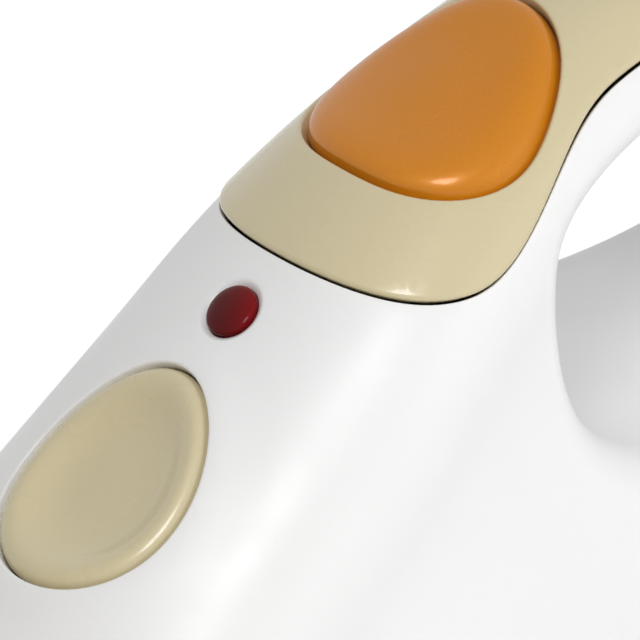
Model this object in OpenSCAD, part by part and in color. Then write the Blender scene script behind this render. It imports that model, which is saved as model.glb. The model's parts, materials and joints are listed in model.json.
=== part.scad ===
// Hand-held wallpaper steamer: jug-shaped body with a D-handle, a steam plate
// clipped into the nose, and the boiler, tank and pump inside.
// Frame: millimetres, +Z up, the floor at z = 0, the nose towards -X, the origin
// under the middle of the whole length.

/* [Body] */
// Length of the body from the nose face to the tail
body_l = 248; // [236:1:270]
// Greatest width of the body
body_w = 100; // [92:1:112]
// Height of the indicator lamp on the sloping spine above the floor
lamp_h = 134; // [130:1:146]
// Distance of the lamp behind the nose face
lamp_back = 70; // [66:1:76]
// Slope of the straight front part of the spine, in degrees
spine_slope = 39.6; // [37:0.1:42]
// Radius of the long bend that turns the spine into the handle
bend_r = 165; // [150:1:185]
// Height of the widest line of the body above the floor
belt_h = 54; // [50:1:60]
// Height of the joint between the housing and the base pan
base_h = 22; // [18:1:26]
// Wall thickness of the moulded shells
wall = 2.4; // [2:0.1:2.8]
// Open line left between two shells that meet
seam_gap = 0.4; // [0.3:0.05:0.6]

/* [Handle] */
// Width of the handle behind the steam button
handle_w = 43; // [38:0.5:48]
// Thickness of the handle bar from its top line to its underside
handle_t = 22; // [20:0.5:25]
// Length of the hand opening along the body
opening_l = 84; // [78:1:90]
// Distance of the opening behind the lamp
opening_back = 45.6; // [44:0.2:50]
// Height of the deck under the handle, above the floor
deck_h = 102; // [98:1:106]
// Edge radius of the opening at the deck
deck_edge_r = 14; // [10:0.5:16]
// Edge radius of the opening along the handle
grip_edge_r = 5; // [4:0.5:6]
// Edge radius of the opening at its front and rear ends
end_edge_r = 3.2; // [3:0.1:5]
// Height of the lowest point of the cover seam above the lamp
seam_low = 5; // [4:0.2:7]
// Drop of the cover seam below the top line along the handle
seam_drop = 8.4; // [7:0.2:10]

/* [Steam button] */
// Distance of the button's middle behind the lamp, along the spine
button_back = 51.5; // [50:0.5:53]
// Mean radius of the button's outline
button_r = 21.2; // [20:0.2:22.4]
// Height of the button's rim above the cover
button_rise = 1.5; // [1:0.1:2.6]
// Depth of the thumb dish in the button
button_dish = 1.6; // [0.8:0.1:2.2]
// Travel of the button
button_travel = 1.8; // [1.2:0.1:2]
// Clearance round the button in its well
button_gap = 0.5; // [0.35:0.05:0.6]

/* [Release button] */
// Distance of the release button's middle in front of the lamp, along the spine
release_front = 33.6; // [33:0.1:36]
// Length of the release button along the spine
release_l = 42.4; // [38:0.2:44]
// Width of the release button
release_w = 35.6; // [32:0.2:38]
// Depth of the finger dish in the release button
release_dish = 3.4; // [2:0.1:4]
// Travel of the release button
release_travel = 3; // [2:0.1:3.2]
// Clearance round the release button in its well
release_gap = 0.4; // [0.35:0.05:0.6]

/* [Indicator lamp] */
// Radius of the lens
lens_r = 4.6; // [4:0.1:5.5]
// Height of the lens dome above the housing
lens_dome = 0.9; // [0.5:0.1:1.5]
// Radius of the neon lamp behind the lens
lamp_r = 2.6; // [2:0.1:3]

/* [Steam outlet] */
// Height of the outlet axis above the floor
outlet_h = 54; // [52:1:58]
// Bore of the outlet socket
socket_bore = 20; // [18:0.2:21]
// Wall of the outlet socket
socket_wall = 4; // [3:0.2:5]
// Length of the socket inside the nose
socket_in = 30; // [28:1:32]
// Length of the socket collar in front of the nose
collar_l = 8; // [6:0.5:10]
// Running clearance of the plate's spigot in the socket, on the radius
spigot_clear = 0.06; // [0.04:0.01:0.1]
// Depth of the latch groove
groove_d = 1.6; // [1.3:0.1:1.7]
// Radius of the pin that the latch lever turns on
pin_r = 1.5; // [1.2:0.1:2]
// Running clearance of the lever on its pin, on the radius
pin_clear = 0.05; // [0.03:0.01:0.1]

/* [Steam plate] */
// Width of the steam plate
plate_w = 190; // [160:1:220]
// Height of the steam plate
plate_h = 96; // [80:1:100]
// Depth of the plate's hood without its gasket
hood_d = 24; // [20:1:30]
// Distance from the nose face to the back of the hood
neck_l = 22; // [20:1:30]
// Wall of the hood
hood_wall = 2.2; // [1.8:0.1:3]
// Corner radius of the plate
plate_corner = 14; // [8:0.5:20]
// Depth that the rubber gasket stands in front of the hood
gasket_d = 6; // [4:0.5:8]
// Width of the gasket's lip
gasket_w = 5; // [4:0.5:7]
// Radius of a steam hole in the diffuser
hole_r = 1.8; // [1.2:0.1:2.4]
// Distance between steam holes
hole_pitch = 14; // [11:0.5:18]

/* [Filler] */
// Distance of the filler behind the lamp
filler_back = 154; // [152:0.5:156]
// Lean of the filler's axis away from upright, in degrees
filler_lean = 12; // [10:1:14]
// Radius of the filler cap
cap_r = 13; // [12.5:0.25:13.5]
// Height of the filler cap
cap_h = 11; // [9:0.5:14]
// Outer radius of the filler pipe
pipe_r = 9; // [8:0.25:9.5]

/* [Inside] */
// Wall of the water tank
tank_wall = 2; // [1.6:0.1:2.4]
// Length of the water tank
tank_l = 107; // [98:1:110]
// Width of the water tank
tank_w = 66; // [60:1:70]
// Height of the water tank
tank_h = 56; // [50:1:57]
// Radius of the boiler
boiler_r = 24; // [22:0.5:26]
// Length of the boiler
boiler_l = 56; // [50:1:58]
// Radius of the water hoses
hose_r = 3; // [2.5:0.1:3.5]
// Radius of the steam pipe
steam_r = 4; // [3:0.1:4.5]
// Radius of the mains cord that the gland takes
cord_r = 2.9; // [2.6:0.1:4.2]
// Height of the rubber feet
foot_h = 6; // [4:0.5:8]
// Radius of the rubber feet
foot_r = 8; // [6:0.5:10]
// Gap kept between pieces that rest against each other
seat = 0.3; // [0.2:0.05:0.4]

/* [Hidden] */

// ---- levels and stations, measured from the lamp on the spine ----
nose_x = -lamp_back;
tail_x = nose_x + body_l;
plate_x = nose_x - neck_l - hood_d - gasket_d;
floor_z = -lamp_h;
belt_z = belt_h - lamp_h;
pan_z = base_h - lamp_h;
under_z = foot_h - lamp_h;
deck_z = deck_h - lamp_h;
outlet_z = outlet_h - lamp_h;
tip_z = -40;
nose_r = 23;
swell_x = nose_x + 28;
bend_x = 8.9;
tighten_x = 72;
crest_r = 80;
neck_x = 8;
grip_x = 100;
shoulder_half = 38.1;
shoulder_flare = 0.118;
arch_h = 37;
grip_arch_h = 18.5;
belly_depth = 42;
plan_x = tail_x - 98;
heel_x = tail_x - 68;
// Length beyond the standard body: the filler and the tank's far end move back with the tail
standard_l = 248;
grown_l = body_l - standard_l;
filler_x = filler_back + grown_l;
centre_x = (plate_x + tail_x) / 2;

// ---- colours ----
white = [0.95, 0.95, 0.95];
cream = [0.83, 0.78, 0.65];
orange = [0.80, 0.50, 0.17];
red = [0.40, 0.10, 0.09];
grey = [0.55, 0.56, 0.58];
dark = [0.16, 0.16, 0.17];
steel = [0.75, 0.76, 0.78];
brass = [0.80, 0.66, 0.35];
cast = [0.66, 0.67, 0.68];
milky = [0.85, 0.88, 0.9];
neon = [0.9, 0.5, 0.3];
green = [0.15, 0.4, 0.25];

// ---- curves of the body ----
bend_c = [bend_x + bend_r * sin(spine_slope), bend_x * tan(spine_slope) - bend_r * cos(spine_slope)];
crest_slope = asin(sin(spine_slope) - (tighten_x - bend_x) / bend_r);
crest_x = tighten_x + crest_r * sin(crest_slope);
crest_z = bend_c[1] + bend_r * cos(crest_slope) + crest_r * (1 - cos(crest_slope));

// Smooth step from 0 to 1
function ease(t) = let(u = min(1, max(0, t))) u * u * (3 - 2 * u);
// Quarter of a superellipse, from 1 at t = 0 down to 0 at t = 1
function fall(t, n) = pow(max(0, 1 - pow(max(0, t), n)), 1 / n);
function mix(a, b, t) = a + (b - a) * t;

// Top line of the body in side view
function spine(x) =
    x < bend_x ? x * tan(spine_slope)
    : x < tighten_x ? bend_c[1] + sqrt(bend_r * bend_r - pow(x - bend_c[0], 2))
    : x < crest_x ? crest_z - crest_r + sqrt(crest_r * crest_r - pow(x - crest_x, 2))
    : tip_z + (crest_z - tip_z) * fall((x - crest_x) / (tail_x - crest_x), 2.6);
// Swelling of the nose from its round face to the full body
function swell(x) = x > swell_x ? 1 : sqrt(max(0, 1 - pow((swell_x - x) / (swell_x - nose_x), 2)));
// Drawing-in of the tail in plan view
function plan(x) = fall((x - plan_x) / (tail_x - plan_x), 3.5);
// Bottom line of the body
function under(x) =
    x < heel_x ? mix(outlet_z - nose_r, under_z, swell(x))
    : tip_z - (tip_z - under_z) * fall((x - heel_x) / (tail_x - heel_x), 6);
// Half width and height of the arch over the spine
function arch_half(x) = mix(nose_r, mix(shoulder_half - shoulder_flare * x, handle_w / 2,
    ease((x - neck_x) / (grip_x - neck_x))), swell(x)) * plan(x);
function arch_rise(x) = mix(nose_r, mix(arch_h, grip_arch_h, ease((x + 5) / 95)), swell(x));
// Half width of the belly, and the level where it is widest
function belly_z(x) = min(belt_z, spine(x) - arch_rise(x) - 1);
function belly_room(x) = ease((spine(x) - arch_rise(x) - belt_z) / belly_depth);
function belly_half(x) = x > 0 ? body_w / 2 * plan(x) : mix(arch_half(x), body_w / 2, belly_room(x));
// Half width of the body at a height
function half_w(x, z) = let(drop = spine(x) - z, a = arch_half(x), b = arch_rise(x), top = spine(x) - b)
    drop < b ? a * sqrt(max(0, 1 - pow((b - drop) / b, 2)))
    : mix(a, belly_half(x), ease((top - z) / (top - belly_z(x))));

// Half a section of the body, from the spine down to the bottom line
arch_n = 8;
side_n = 5;
base_n = 6;
base_square = 1.2;
function half_section(x, t, na, ns, nb) =
    let(a = max(0.5, arch_half(x) - t), w = max(0.6, belly_half(x) - t), b = arch_rise(x),
        top = spine(x) - t * 1.2, zt = top - b, zb = min(belly_z(x), zt - 0.5),
        low = min(zb - 1, under(x) + t), p = 1 / (1 + base_square * swell(x)))
    concat(
        [for (i = [0 : na]) let(q = 90 * i / na) [a * sin(q), zt + b * cos(q)]],
        [for (i = [1 : ns]) let(f = i / ns) [mix(a, w, ease(f)), mix(zt, zb, f)]],
        [for (i = [1 : nb]) let(q = 90 * i / nb)
            [w * pow(cos(q), p), zb - (zb - low) * pow(sin(q), p)]]);
// The whole section as a ring that starts on the spine
function ring(x, at, t, na, ns, nb) = let(h = half_section(x, t, na, ns, nb), n = len(h))
    concat([for (p = h) [at, p[0], p[1]]], [for (i = [n - 2 : -1 : 1]) [at, -h[i][0], h[i][1]]]);
// Triangles between rings of n points, closed at both ends
function loft_faces(rings, n) = concat(
    [[for (j = [n - 1 : -1 : 0]) j]],
    [for (i = [0 : rings - 2], j = [0 : n - 1])
        [i * n + j, i * n + (j + 1) % n, (i + 1) * n + (j + 1) % n]],
    [for (i = [0 : rings - 2], j = [0 : n - 1]) [i * n + j, (i + 1) * n + (j + 1) % n, (i + 1) * n + j]],
    [[for (j = [0 : n - 1]) (rings - 1) * n + j]]);
module loft(rings) {
    n = len(rings[0]);
    polyhedron(points = [for (r = rings) for (p = r) p], faces = loft_faces(len(rings), n), convexity = 10);
}
// Stations along the body, closer together where it curves most
function stations(nose_step, mid_step, tail_step) = concat(
    [for (q = [0 : nose_step : 89]) swell_x - (swell_x - nose_x) * cos(q)],
    [for (x = [swell_x : mid_step : crest_x - 1]) x],
    [for (q = [0 : tail_step : 86]) crest_x + (tail_x - crest_x) * sin(q)]);
// Solid inside the skin at depth t; the ends draw in by the same depth
module body_form(t, steps = [15, 5.5, 7.5], na = arch_n, ns = side_n, nb = base_n) {
    mid = (nose_x + tail_x) / 2;
    shrink = (body_l - 2 * t) / body_l;
    loft([for (x = stations(steps[0], steps[1], steps[2]))
        ring(x, mid + (x - mid) * shrink, t, na, ns, nb)]);
}
module cavity() { body_form(wall, [22, 9, 14], 6, 4, 4); }
// Form that lies inside the skin of the shells, to trim what is joined to them
module inner_form() { body_form(wall / 3, [22, 12, 14], 7, 3, 3); }

// ---- the hand opening ----
open_mid_z = -6;
open_a = opening_l / 2;
open_c = opening_back + open_a;
open_top_n = 5;
open_low_n = 3;
deck_crown = 1.2;
side_out = 75;
open_angles = concat([for (q = [0 : 6 : 84]) q], [87, 88.8, 89.8], [for (q = [91.2, 93]) q],
    [for (q = [96 : 6 : 258]) q], [265, 270, 275], [for (q = [282 : 6 : 354]) q]);
function root(v, p) = sign(v) * pow(abs(v), p);
function open_xz(q) = let(n = sin(q) >= 0 ? open_top_n : open_low_n,
        x = open_c + open_a * root(cos(q), 2 / n), s = pow(abs(sin(q)), 2 / n))
    [x, sin(q) >= 0 ? mix(open_mid_z, spine(x) - handle_t, s) : mix(open_mid_z, deck_z, s)];
function open_normal(i) = let(n = len(open_angles), a = open_xz(open_angles[(i + n - 1) % n]),
        b = open_xz(open_angles[(i + 1) % n]), d = b - a) [d[1], -d[0]] / norm(d);
function open_edge_r(n) = end_edge_r + ((n[1] < 0 ? deck_edge_r : grip_edge_r) - end_edge_r) * n[1] * n[1];
open_data = [for (i = [0 : len(open_angles) - 1]) let(p = open_xz(open_angles[i]), n = open_normal(i),
        r = open_edge_r(n)) [p, n, r, half_w(p[0] + r * n[0], p[1] + r * n[1])]];
function open_point(d, y, push) = [d[0][0] + push * d[1][0], y, d[0][1] + push * d[1][1]];
function open_flare(side, q, t) = [for (d = open_data)
    open_point(d, side * (d[3] - d[2] + (d[2] - t) * sin(q)), t + (d[2] - t) * (1 - cos(q)))];
function open_outer(side) = [for (d = open_data) open_point(d, side * side_out, d[2])];
function open_middle(t) = [for (d = open_data) open_point(d, 0, t - deck_crown * pow(max(0, -d[1][1]), 2))];
// Cutter of the opening with its rounded rims; t > 0 leaves a wall of that thickness round it
module hand_opening(t, q_step = 22.5) {
    loft(concat([open_outer(-1)], [for (q = [90 : -q_step : 0]) open_flare(-1, q, t)], [open_middle(t)],
        [for (q = [0 : q_step : 90]) open_flare(1, q, t)], [open_outer(1)]));
}

// ---- the seam between housing and handle cover, in side view ----
seam_x = 22;
seam_curl = 0.0125;
seam_turn = [26, 66];
seam_end = [112, 134];
sky_z = 70;
function seam(x) = let(front = seam_low + seam_curl * pow(x - seam_x, 2),
        e = min(1, max(0, (x - seam_end[0]) / (seam_end[1] - seam_end[0]))),
        back = spine(x) - seam_drop * sqrt(1 - e * e))
    mix(front, back, ease((x - seam_turn[0]) / (seam_turn[1] - seam_turn[0])));
seam_xs = concat([for (x = [-16 : 4 : 108]) x],
    [for (q = [0 : 15 : 90]) mix(seam_end[0], seam_end[1], sin(q))]);
module above_seam(lift) {
    rotate([90, 0, 0])
        linear_extrude(2 * side_out, center = true)
            polygon(concat([for (x = seam_xs) [x, seam(x) + lift]],
                [[seam_end[1], sky_z], [seam_xs[0], sky_z]]));
}
// A skin of shells cut from one another, kept as one surface
module skin() { resize([0, 0, 0]) children(); }
module place() { translate([-centre_x, 0, lamp_h]) children(); }

// ---- places on the spine ----
line_end = bend_x / cos(spine_slope);
function rad_to_deg(v) = v * 180 / PI;
// Point and slope of the spine at a distance s behind the lamp
function at_spine(s) = let(q = spine_slope - rad_to_deg((s - line_end) / bend_r))
    s < line_end ? [s * cos(spine_slope), s * sin(spine_slope), spine_slope]
    : [bend_c[0] - bend_r * sin(q), bend_c[1] + bend_r * cos(q), q];
module on_spine(s) {
    f = at_spine(s);
    translate([f[0], 0, f[1]])
        rotate([0, -f[2], 0])
            children();
}
function crest_at(x, y) = let(a = arch_half(x), b = arch_rise(x))
    spine(x) - b * (1 - sqrt(max(0, 1 - pow(min(abs(y), a) / a, 2))));
// Height of the skin over the plane of a place on the spine, at u along it and v across it
function skin_w(f, u, v, w = 0, n = 5) = n == 0 ? w
    : skin_w(f, u, v, w + cos(f[2]) * (crest_at(f[0] + u * cos(f[2]) - w * sin(f[2]), v)
        - f[1] - u * sin(f[2]) - w * cos(f[2])), n - 1);
function grow(p, g) = p * (1 + g / norm(p));

// ---- outlines of the two buttons, seen square to the spine ----
pad_n = 36;
pad_angles = [for (i = [0 : pad_n - 1]) -360 * i / pad_n];
button_shape = [-0.108, 0.059, -0.02];
function button_outline(q) = button_r * (1 + button_shape[0] * cos(q) + button_shape[1] * cos(3 * q)
    + button_shape[2] * cos(4 * q)) * [cos(q), sin(q)];
release_egg = 0.12;
function release_outline(q) = [release_l / 2 * cos(q), release_w / 2 * (1 - release_egg * cos(q)) * sin(q)];
function button_edge(g) = [for (q = pad_angles) grow(button_outline(q), g)];
function release_edge(g) = [for (q = pad_angles) grow(release_outline(q), g)];
module prism(edge, w0, w1) {
    translate([0, 0, w0])
        linear_extrude(w1 - w0)
            polygon(edge);
}
// Pad that follows the skin: a rounded rim standing proud and a dish inside it
function pad_ring(f, edge, k, lift) = [for (p = edge)
    [k * p[0], k * p[1], skin_w(f, k * p[0], k * p[1]) + lift]];
function dish(k, rim, depth) = k > rim ? 0 : -depth * (1 - pow(k / rim, 2));
module pad(f, edge, thick, rise, rim, depth) {
    loft(concat([for (k = [0.02, 0.4, 0.75, 1]) pad_ring(f, edge, k, -thick)],
        [for (c = [[1, 1.4], [0.985, 0.6], [0.95, 0.12]]) pad_ring(f, edge, c[0], rise - c[1])],
        [for (k = [0.9, 0.84, 0.76, 0.66, 0.54, 0.4, 0.22, 0.02])
            pad_ring(f, edge, k, rise + dish(k, rim, depth))]));
}
button_f = at_spine(button_back);
release_f = at_spine(-release_front);
button_thick = 4.6;
release_thick = 4.6;
rim_share = 0.86;
release_rise = 0.5;
well_wall = 1.8;
release_well = 10;
button_well = 17;

// ---- outlet and latch ----
socket_r = socket_bore / 2 + socket_wall;
socket_end = nose_x + socket_in;
collar_x = nose_x - collar_l;
collar_r = nose_r - 1.5;
spigot_r = socket_bore / 2 - spigot_clear;
spigot_end = socket_end - 5;
spigot_hole = 6;
seal_r = 1;
seal_w = 2.4;
seal_x = spigot_end - 7;
lever_w = 6;
lever_t = 5;
cheek_t = 2.4;
cheek_l = 8;
side_play = 0.4;
spring_room = 6.2;
lever_x = nose_x + 27;
lever_z = outlet_z + socket_r + 7;
hook_x = nose_x + 7;
hook_len = 3.2;
hook_play = 0.4;
stem_z = -12.4;
push = [release_f[0] - stem_z * sin(release_f[2]), release_f[1] + stem_z * cos(release_f[2])];

// ---- steam plate ----
hood_x = nose_x - neck_l;
rim_x = hood_x - hood_d;
flange_r = 20;
flange_t = 3;
neck_r = 13;
plate_t = 1.5;
plate_post_r = 4;
plate_screw_l = 8;
plate_head_t = 1.6;
crown_w = 0.56;

// ---- filler ----
filler_p = [filler_x, spine(filler_x)];
mouth_r = cap_r - 2.6;
tower_r = cap_r + 1.4;
tower_top = 5;
tower_foot = -13;
tank_x = opening_back - wall;
tank_len = tank_l + grown_l;
tank_top = deck_z - wall - 7.6;
tank_foot = tank_top - tank_h;
tank_round = 13;
tank_rests = [tank_x + 8, tank_x + tank_len - 12];
rest_t = 2.6;
rest_w = 16;
module on_filler() {
    translate([filler_p[0], 0, filler_p[1]])
        rotate([0, filler_lean, 0])
            children();
}
pipe_len = (filler_p[1] - tank_top - seat) / cos(filler_lean);
port_x = filler_p[0] - (filler_p[1] - tank_top) * tan(filler_lean);

// ---- inside ----
floor_top = under_z + wall;
plinth_z = floor_top + 3;
bracket_w = 44;
bracket_t = 2;
boiler_x = socket_end + 7;
boiler_back = boiler_x + boiler_l;
lid_t = 5;
bracket_xs = [boiler_x + 10.5, boiler_back - 13.5];
pump_r = 11;
pump_x = tank_x + 22;
pump_l = 40;
pump_z = tank_foot - seat - pump_r;
gland_z = floor_z + 34;
gland_r = 6.5;
gland_in = 16;
gland_lip = 2.5;
screw_r = 1.5;
head_r = 3;
head_t = 2;
pilot_clear = 0.1;
block_x = tail_x - 36;
post_xs = [nose_x + 56, nose_x + 132, tail_x - 52];
post_r = 4;
pan_post_r = 5;
pan_screw_l = 16;
pan_screw_z = pan_z - 6;
foot_xs = [nose_x + 38, tail_x - 34];
foot_stem_r = 3;
foot_stem = 2.5;
function post_y(x) = belly_half(x) - 15;
function foot_y(x) = belly_half(x) - 16;
post_top = pan_z + 14;
board_x = opening_back - 10;
board_t = 1.6;
board_w = 42;
board_h = 32;
board_z = open_mid_z - 8;
board_post = [board_w / 2 - 4, board_h / 2 - 4];
switch_u = 9;
switch_w = -17;
switch_top = -8.6;
switch_l = 20;
switch_d = 10;
plunger_u = switch_u - 5;
plunger_r = 1.5;
plunger_top = -button_thick - 2;
stem_gap = 0.3;

// ---- shells ----
module shell_of_body() {
    difference() {
        body_form(0);
        hand_opening(0);
        difference() {
            cavity();
            hand_opening(wall, 45);
        }
    }
}
module box_to(z0, z1) {
    translate([nose_x - 5, -side_out, z0])
        cube([body_l + 10, 2 * side_out, z1 - z0]);
}
module along_x(x0, x1, r, z = 0, y = 0) {
    translate([x0, y, z])
        rotate([0, 90, 0])
            cylinder(r = r, h = x1 - x0, $fn = 48);
}
// Wall that hangs from the skin round a well
module well_collar(s, depth, edge_in, edge_out) {
    intersection() {
        on_spine(s)
            difference() {
                prism(edge_out, -depth, 12);
                prism(edge_in, -depth - 1, 13);
            }
        inner_form();
    }
}
post_rib = [2.4, 24];
module housing_posts() {
    for (x = post_xs, s = [-1, 1])
        translate([x, s * post_y(x), pan_z]) {
            cylinder(r = post_r, h = post_top - pan_z, $fn = 24);
            translate([-post_rib[0] / 2, s > 0 ? 0 : -post_rib[1], 2])
                cube([post_rib[0], post_rib[1], post_top - pan_z - 2]);
        }
    for (s = [-1, 1], t = [-1, 1])
        translate([board_x + board_t, s * board_post[0], board_z + t * board_post[1]])
            rotate([0, 90, 0])
                cylinder(r = 2.6, h = t > 0 ? 9.5 : 16, $fn = 20);
    on_spine(button_back)
        translate([switch_u - switch_l / 2 - 1, -switch_d / 2 - 1, switch_w - 12])
            cube([switch_l + 2, switch_d + 2, 12]);
}
module main_housing() {
    color(white) place() {
        skin() difference() {
            union() {
                difference() {
                    shell_of_body();
                    above_seam(0);
                    box_to(floor_z - 1, pan_z);
                }
                intersection() {
                    housing_posts();
                    difference() {
                        inner_form();
                        hand_opening(wall / 3, 45);
                        box_to(floor_z - 1, pan_z);
                    }
                }
                well_collar(-release_front, release_well, release_edge(release_gap),
                    release_edge(release_gap + well_wall));
                along_x(tail_x - gland_lip - 3, tail_x - gland_lip, gland_r + 5, gland_z);
            }
            on_spine(-release_front)
                prism(release_edge(release_gap), -9, 12);
            on_spine(button_back)
                prism(button_edge(button_gap), -button_well, 12);
            on_spine(0) {
                cylinder(r = lens_r + 0.15, h = 30, center = true, $fn = 48);
                translate([0, 0, -0.9])
                    cylinder(r1 = lens_r + 0.15, r2 = lens_r + 2.6, h = 2, $fn = 48);
            }
            along_x(nose_x - 1, nose_x + 8, socket_r + seat, outlet_z);
            along_x(tail_x - 12, tail_x + 3, gland_r + 0.15, gland_z);
            along_x(tail_x - gland_lip, tail_x + 3, gland_r + 3.2, gland_z);
            on_filler()
                translate([0, 0, tower_foot - 6])
                    cylinder(r = tower_r + seat, h = 40, $fn = 48);
            for (x = post_xs, s = [-1, 1])
                translate([x, s * post_y(x), pan_z - 1])
                    cylinder(r = screw_r + pilot_clear, h = 14, $fn = 24);
            for (s = [-1, 1], t = [-1, 1])
                along_x(board_x - 1, board_x + 8, screw_r - 0.4,
                    board_z + t * board_post[1], s * board_post[0]);
        }
    }
}
module handle_cover() {
    color(cream) place() {
        skin() difference() {
            union() {
                intersection() {
                    shell_of_body();
                    above_seam(seam_gap);
                }
                intersection() {
                    well_collar(button_back, button_well, button_edge(button_gap),
                        button_edge(button_gap + well_wall));
                    above_seam(seam_gap);
                }
            }
            on_spine(button_back)
                prism(button_edge(button_gap), -30, 12);
        }
    }
}
// Raised seat on the floor of the pan
module plinth(x, l, w) {
    translate([x, -w / 2, under_z + 1])
        cube([l, w, plinth_z - under_z - 1]);
}
module base_pan() {
    color(white) place() {
        difference() {
            skin() union() {
                intersection() {
                    shell_of_body();
                    box_to(floor_z, pan_z - seam_gap);
                }
                for (x = foot_xs, s = [-1, 1])
                    translate([x, s * foot_y(x), under_z])
                        cylinder(r = foot_r + 1.2, h = 7, $fn = 32);
                intersection() {
                    inner_form();
                    for (x = post_xs, s = [-1, 1])
                        translate([x, s * post_y(x), under_z])
                            cylinder(r = pan_post_r, h = pan_z - seam_gap - under_z, $fn = 24);
                }
                for (x = bracket_xs)
                    plinth(x - 1, bracket_t + 2, bracket_w + 2);
                plinth(pump_x + 11, pump_l - 22, 2 * pump_r + 2);
                plinth(block_x - 1, block_size[0] + 2, block_size[1] + 2);
                for (x = tank_rests, s = [-1, 1])
                    translate([x, s * tank_w / 4 - rest_w / 2, under_z + 1])
                        cube([rest_t, rest_w, tank_foot - seat - under_z - 1]);
            }
            for (x = post_xs, s = [-1, 1])
                translate([x, s * post_y(x), under_z - 1]) {
                    cylinder(r = screw_r + pilot_clear, h = 30, $fn = 24);
                    cylinder(r = head_r + 0.2, h = pan_z - under_z - 5, $fn = 24);
                }
            for (x = foot_xs, s = [-1, 1])
                translate([x, s * foot_y(x), under_z - 1])
                    cylinder(r = foot_stem_r + pilot_clear, h = 5, $fn = 24);
        }
    }
}

// ---- steam button and its switch ----
module steam_button() {
    color(orange) place() on_spine(button_back)
        union() {
            pad(button_f, button_edge(0), button_thick, button_rise, rim_share, button_dish);
            translate([plunger_u, 0, plunger_top + stem_gap])
                cylinder(r = 3, h = -button_thick - plunger_top, $fn = 32);
        }
}
module microswitch() {
    color(dark) place() on_spine(button_back)
        difference() {
            translate([switch_u - switch_l / 2, -switch_d / 2, switch_w])
                cube([switch_l, switch_d, switch_top - switch_w]);
            translate([plunger_u, 0, plunger_top - 3.6 - button_travel - 0.2])
                cylinder(r = plunger_r + pin_clear, h = 12, $fn = 32);
        }
}
module switch_plunger() {
    color(red) place() on_spine(button_back)
        translate([plunger_u, 0, plunger_top - 3.6])
            cylinder(r = plunger_r, h = 3.6, $fn = 32);
}
module switch_terminals() {
    color(brass) place() on_spine(button_back)
        for (s = [-1, 1])
            translate([switch_u + 2, s * (switch_d / 2 + 2.5) - 2.5, switch_w + 2])
                cube([3.2, 5, 0.8]);
}

// ---- release button, latch lever, outlet socket ----
module release_button() {
    color(cream) place() on_spine(-release_front)
        union() {
            pad(release_f, release_edge(0), release_thick, release_rise, rim_share, release_dish);
            translate([0, 0, stem_z])
                cylinder(r = 4, h = -stem_z - release_thick + 0.6, $fn = 32);
        }
}
// Bar from a hub to a round end in the side view, centred on the middle plane
bar_share = 0.9;
module link(a, b, r, w) {
    d = b - a;
    translate([a[0], w / 2, a[1]])
        rotate([90, 0, 0])
            linear_extrude(w)
                union() {
                    translate(d)
                        circle(r, $fn = 32);
                    rotate(atan2(d[1], d[0]))
                        translate([0, -r * bar_share])
                            square([norm(d), 2 * r * bar_share]);
                }
}
module pin_y(x, z, r, l) {
    translate([x, l / 2, z])
        rotate([90, 0, 0])
            cylinder(r = r, h = l, $fn = 40);
}
lever_a = [lever_x, lever_z];
tail_r = lever_t / 2;
hub_r = 4;
lever_tail = push - (tail_r + stem_gap) * [-sin(spine_slope), cos(spine_slope)];
hook_low = outlet_z + spigot_r - groove_d + seat;
hook_top = [hook_x, outlet_z + socket_r + tail_r + seat];
// Turn of the lever, in radians, when the button is pressed home
swing = release_travel / norm(lever_tail - lever_a);
groove_back = hook_x + hook_len / 2 + hook_play;
groove_front = hook_x - hook_len / 2 - hook_play - swing * (lever_z - hook_low);
cheek_in = [-lever_w / 2 - spring_room - cheek_t, lever_w / 2 + side_play];
module latch_lever() {
    color(grey) place()
        difference() {
            union() {
                link(lever_a, lever_tail, tail_r, lever_w);
                link(lever_a, hook_top, tail_r, lever_w);
                pin_y(lever_a[0], lever_a[1], hub_r, lever_w);
                translate([hook_x - hook_len / 2, -lever_w / 2, hook_low])
                    cube([hook_len, lever_w, hook_top[1] - hook_low]);
            }
            pin_y(lever_a[0], lever_a[1], pin_r + pin_clear, 2 * lever_w);
        }
}
pin_ends = 0.5;
module lever_pin() {
    color(steel) place()
        translate([0, (cheek_in[0] + cheek_in[1] + cheek_t) / 2, 0])
            pin_y(lever_a[0], lever_a[1], pin_r, cheek_in[1] - cheek_in[0] + cheek_t + 2 * pin_ends);
}
// Round wire through a row of points; each point has the direction across the wire's plane
wire_r = 0.45;
coil_r = pin_r + pin_clear + 1.1;
coil_turns = 4;
coil_pitch = 1;
coil_step = 30;
coil_y = -lever_w / 2 - 0.6 - wire_r;
function wire_ring(pts, i, r) = let(n = len(pts), a = pts[max(0, i - 1)], b = pts[min(n - 1, i + 1)],
        t = (b - a) / norm(b - a), side = abs(t[1]) < 0.7 ? [0, 1, 0] : [1, 0, 0],
        u = cross(side, t) / norm(cross(side, t)), v = cross(t, u))
    [for (k = [0 : 5]) pts[i] + r * (cos(60 * k) * u + sin(60 * k) * v)];
rear_angle = atan2(lever_tail[1] - lever_z, lever_tail[0] - lever_x);
rest_angle = 200;
function coil_at(q) = [coil_r * cos(q), coil_y - coil_pitch * (q - rear_angle) / 360, coil_r * sin(q)];
coil_start = rear_angle - 90;
coil_end = 360 * coil_turns + rest_angle - 90;
leg_l = 15;
rest_l = 9;
spring_line = concat(
    [[lever_x, 0, lever_z] + coil_at(coil_start) + leg_l * [cos(rear_angle), 0, sin(rear_angle)]],
    [for (q = [coil_start : coil_step : coil_end]) [lever_x, 0, lever_z] + coil_at(q)],
    [[lever_x, 0, lever_z] + coil_at(coil_end) + rest_l * [cos(rest_angle), 0, sin(rest_angle)]]);
module lever_spring() {
    color(steel) place()
        loft([for (i = [0 : len(spring_line) - 1]) wire_ring(spring_line, i, wire_r)]);
}
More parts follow.
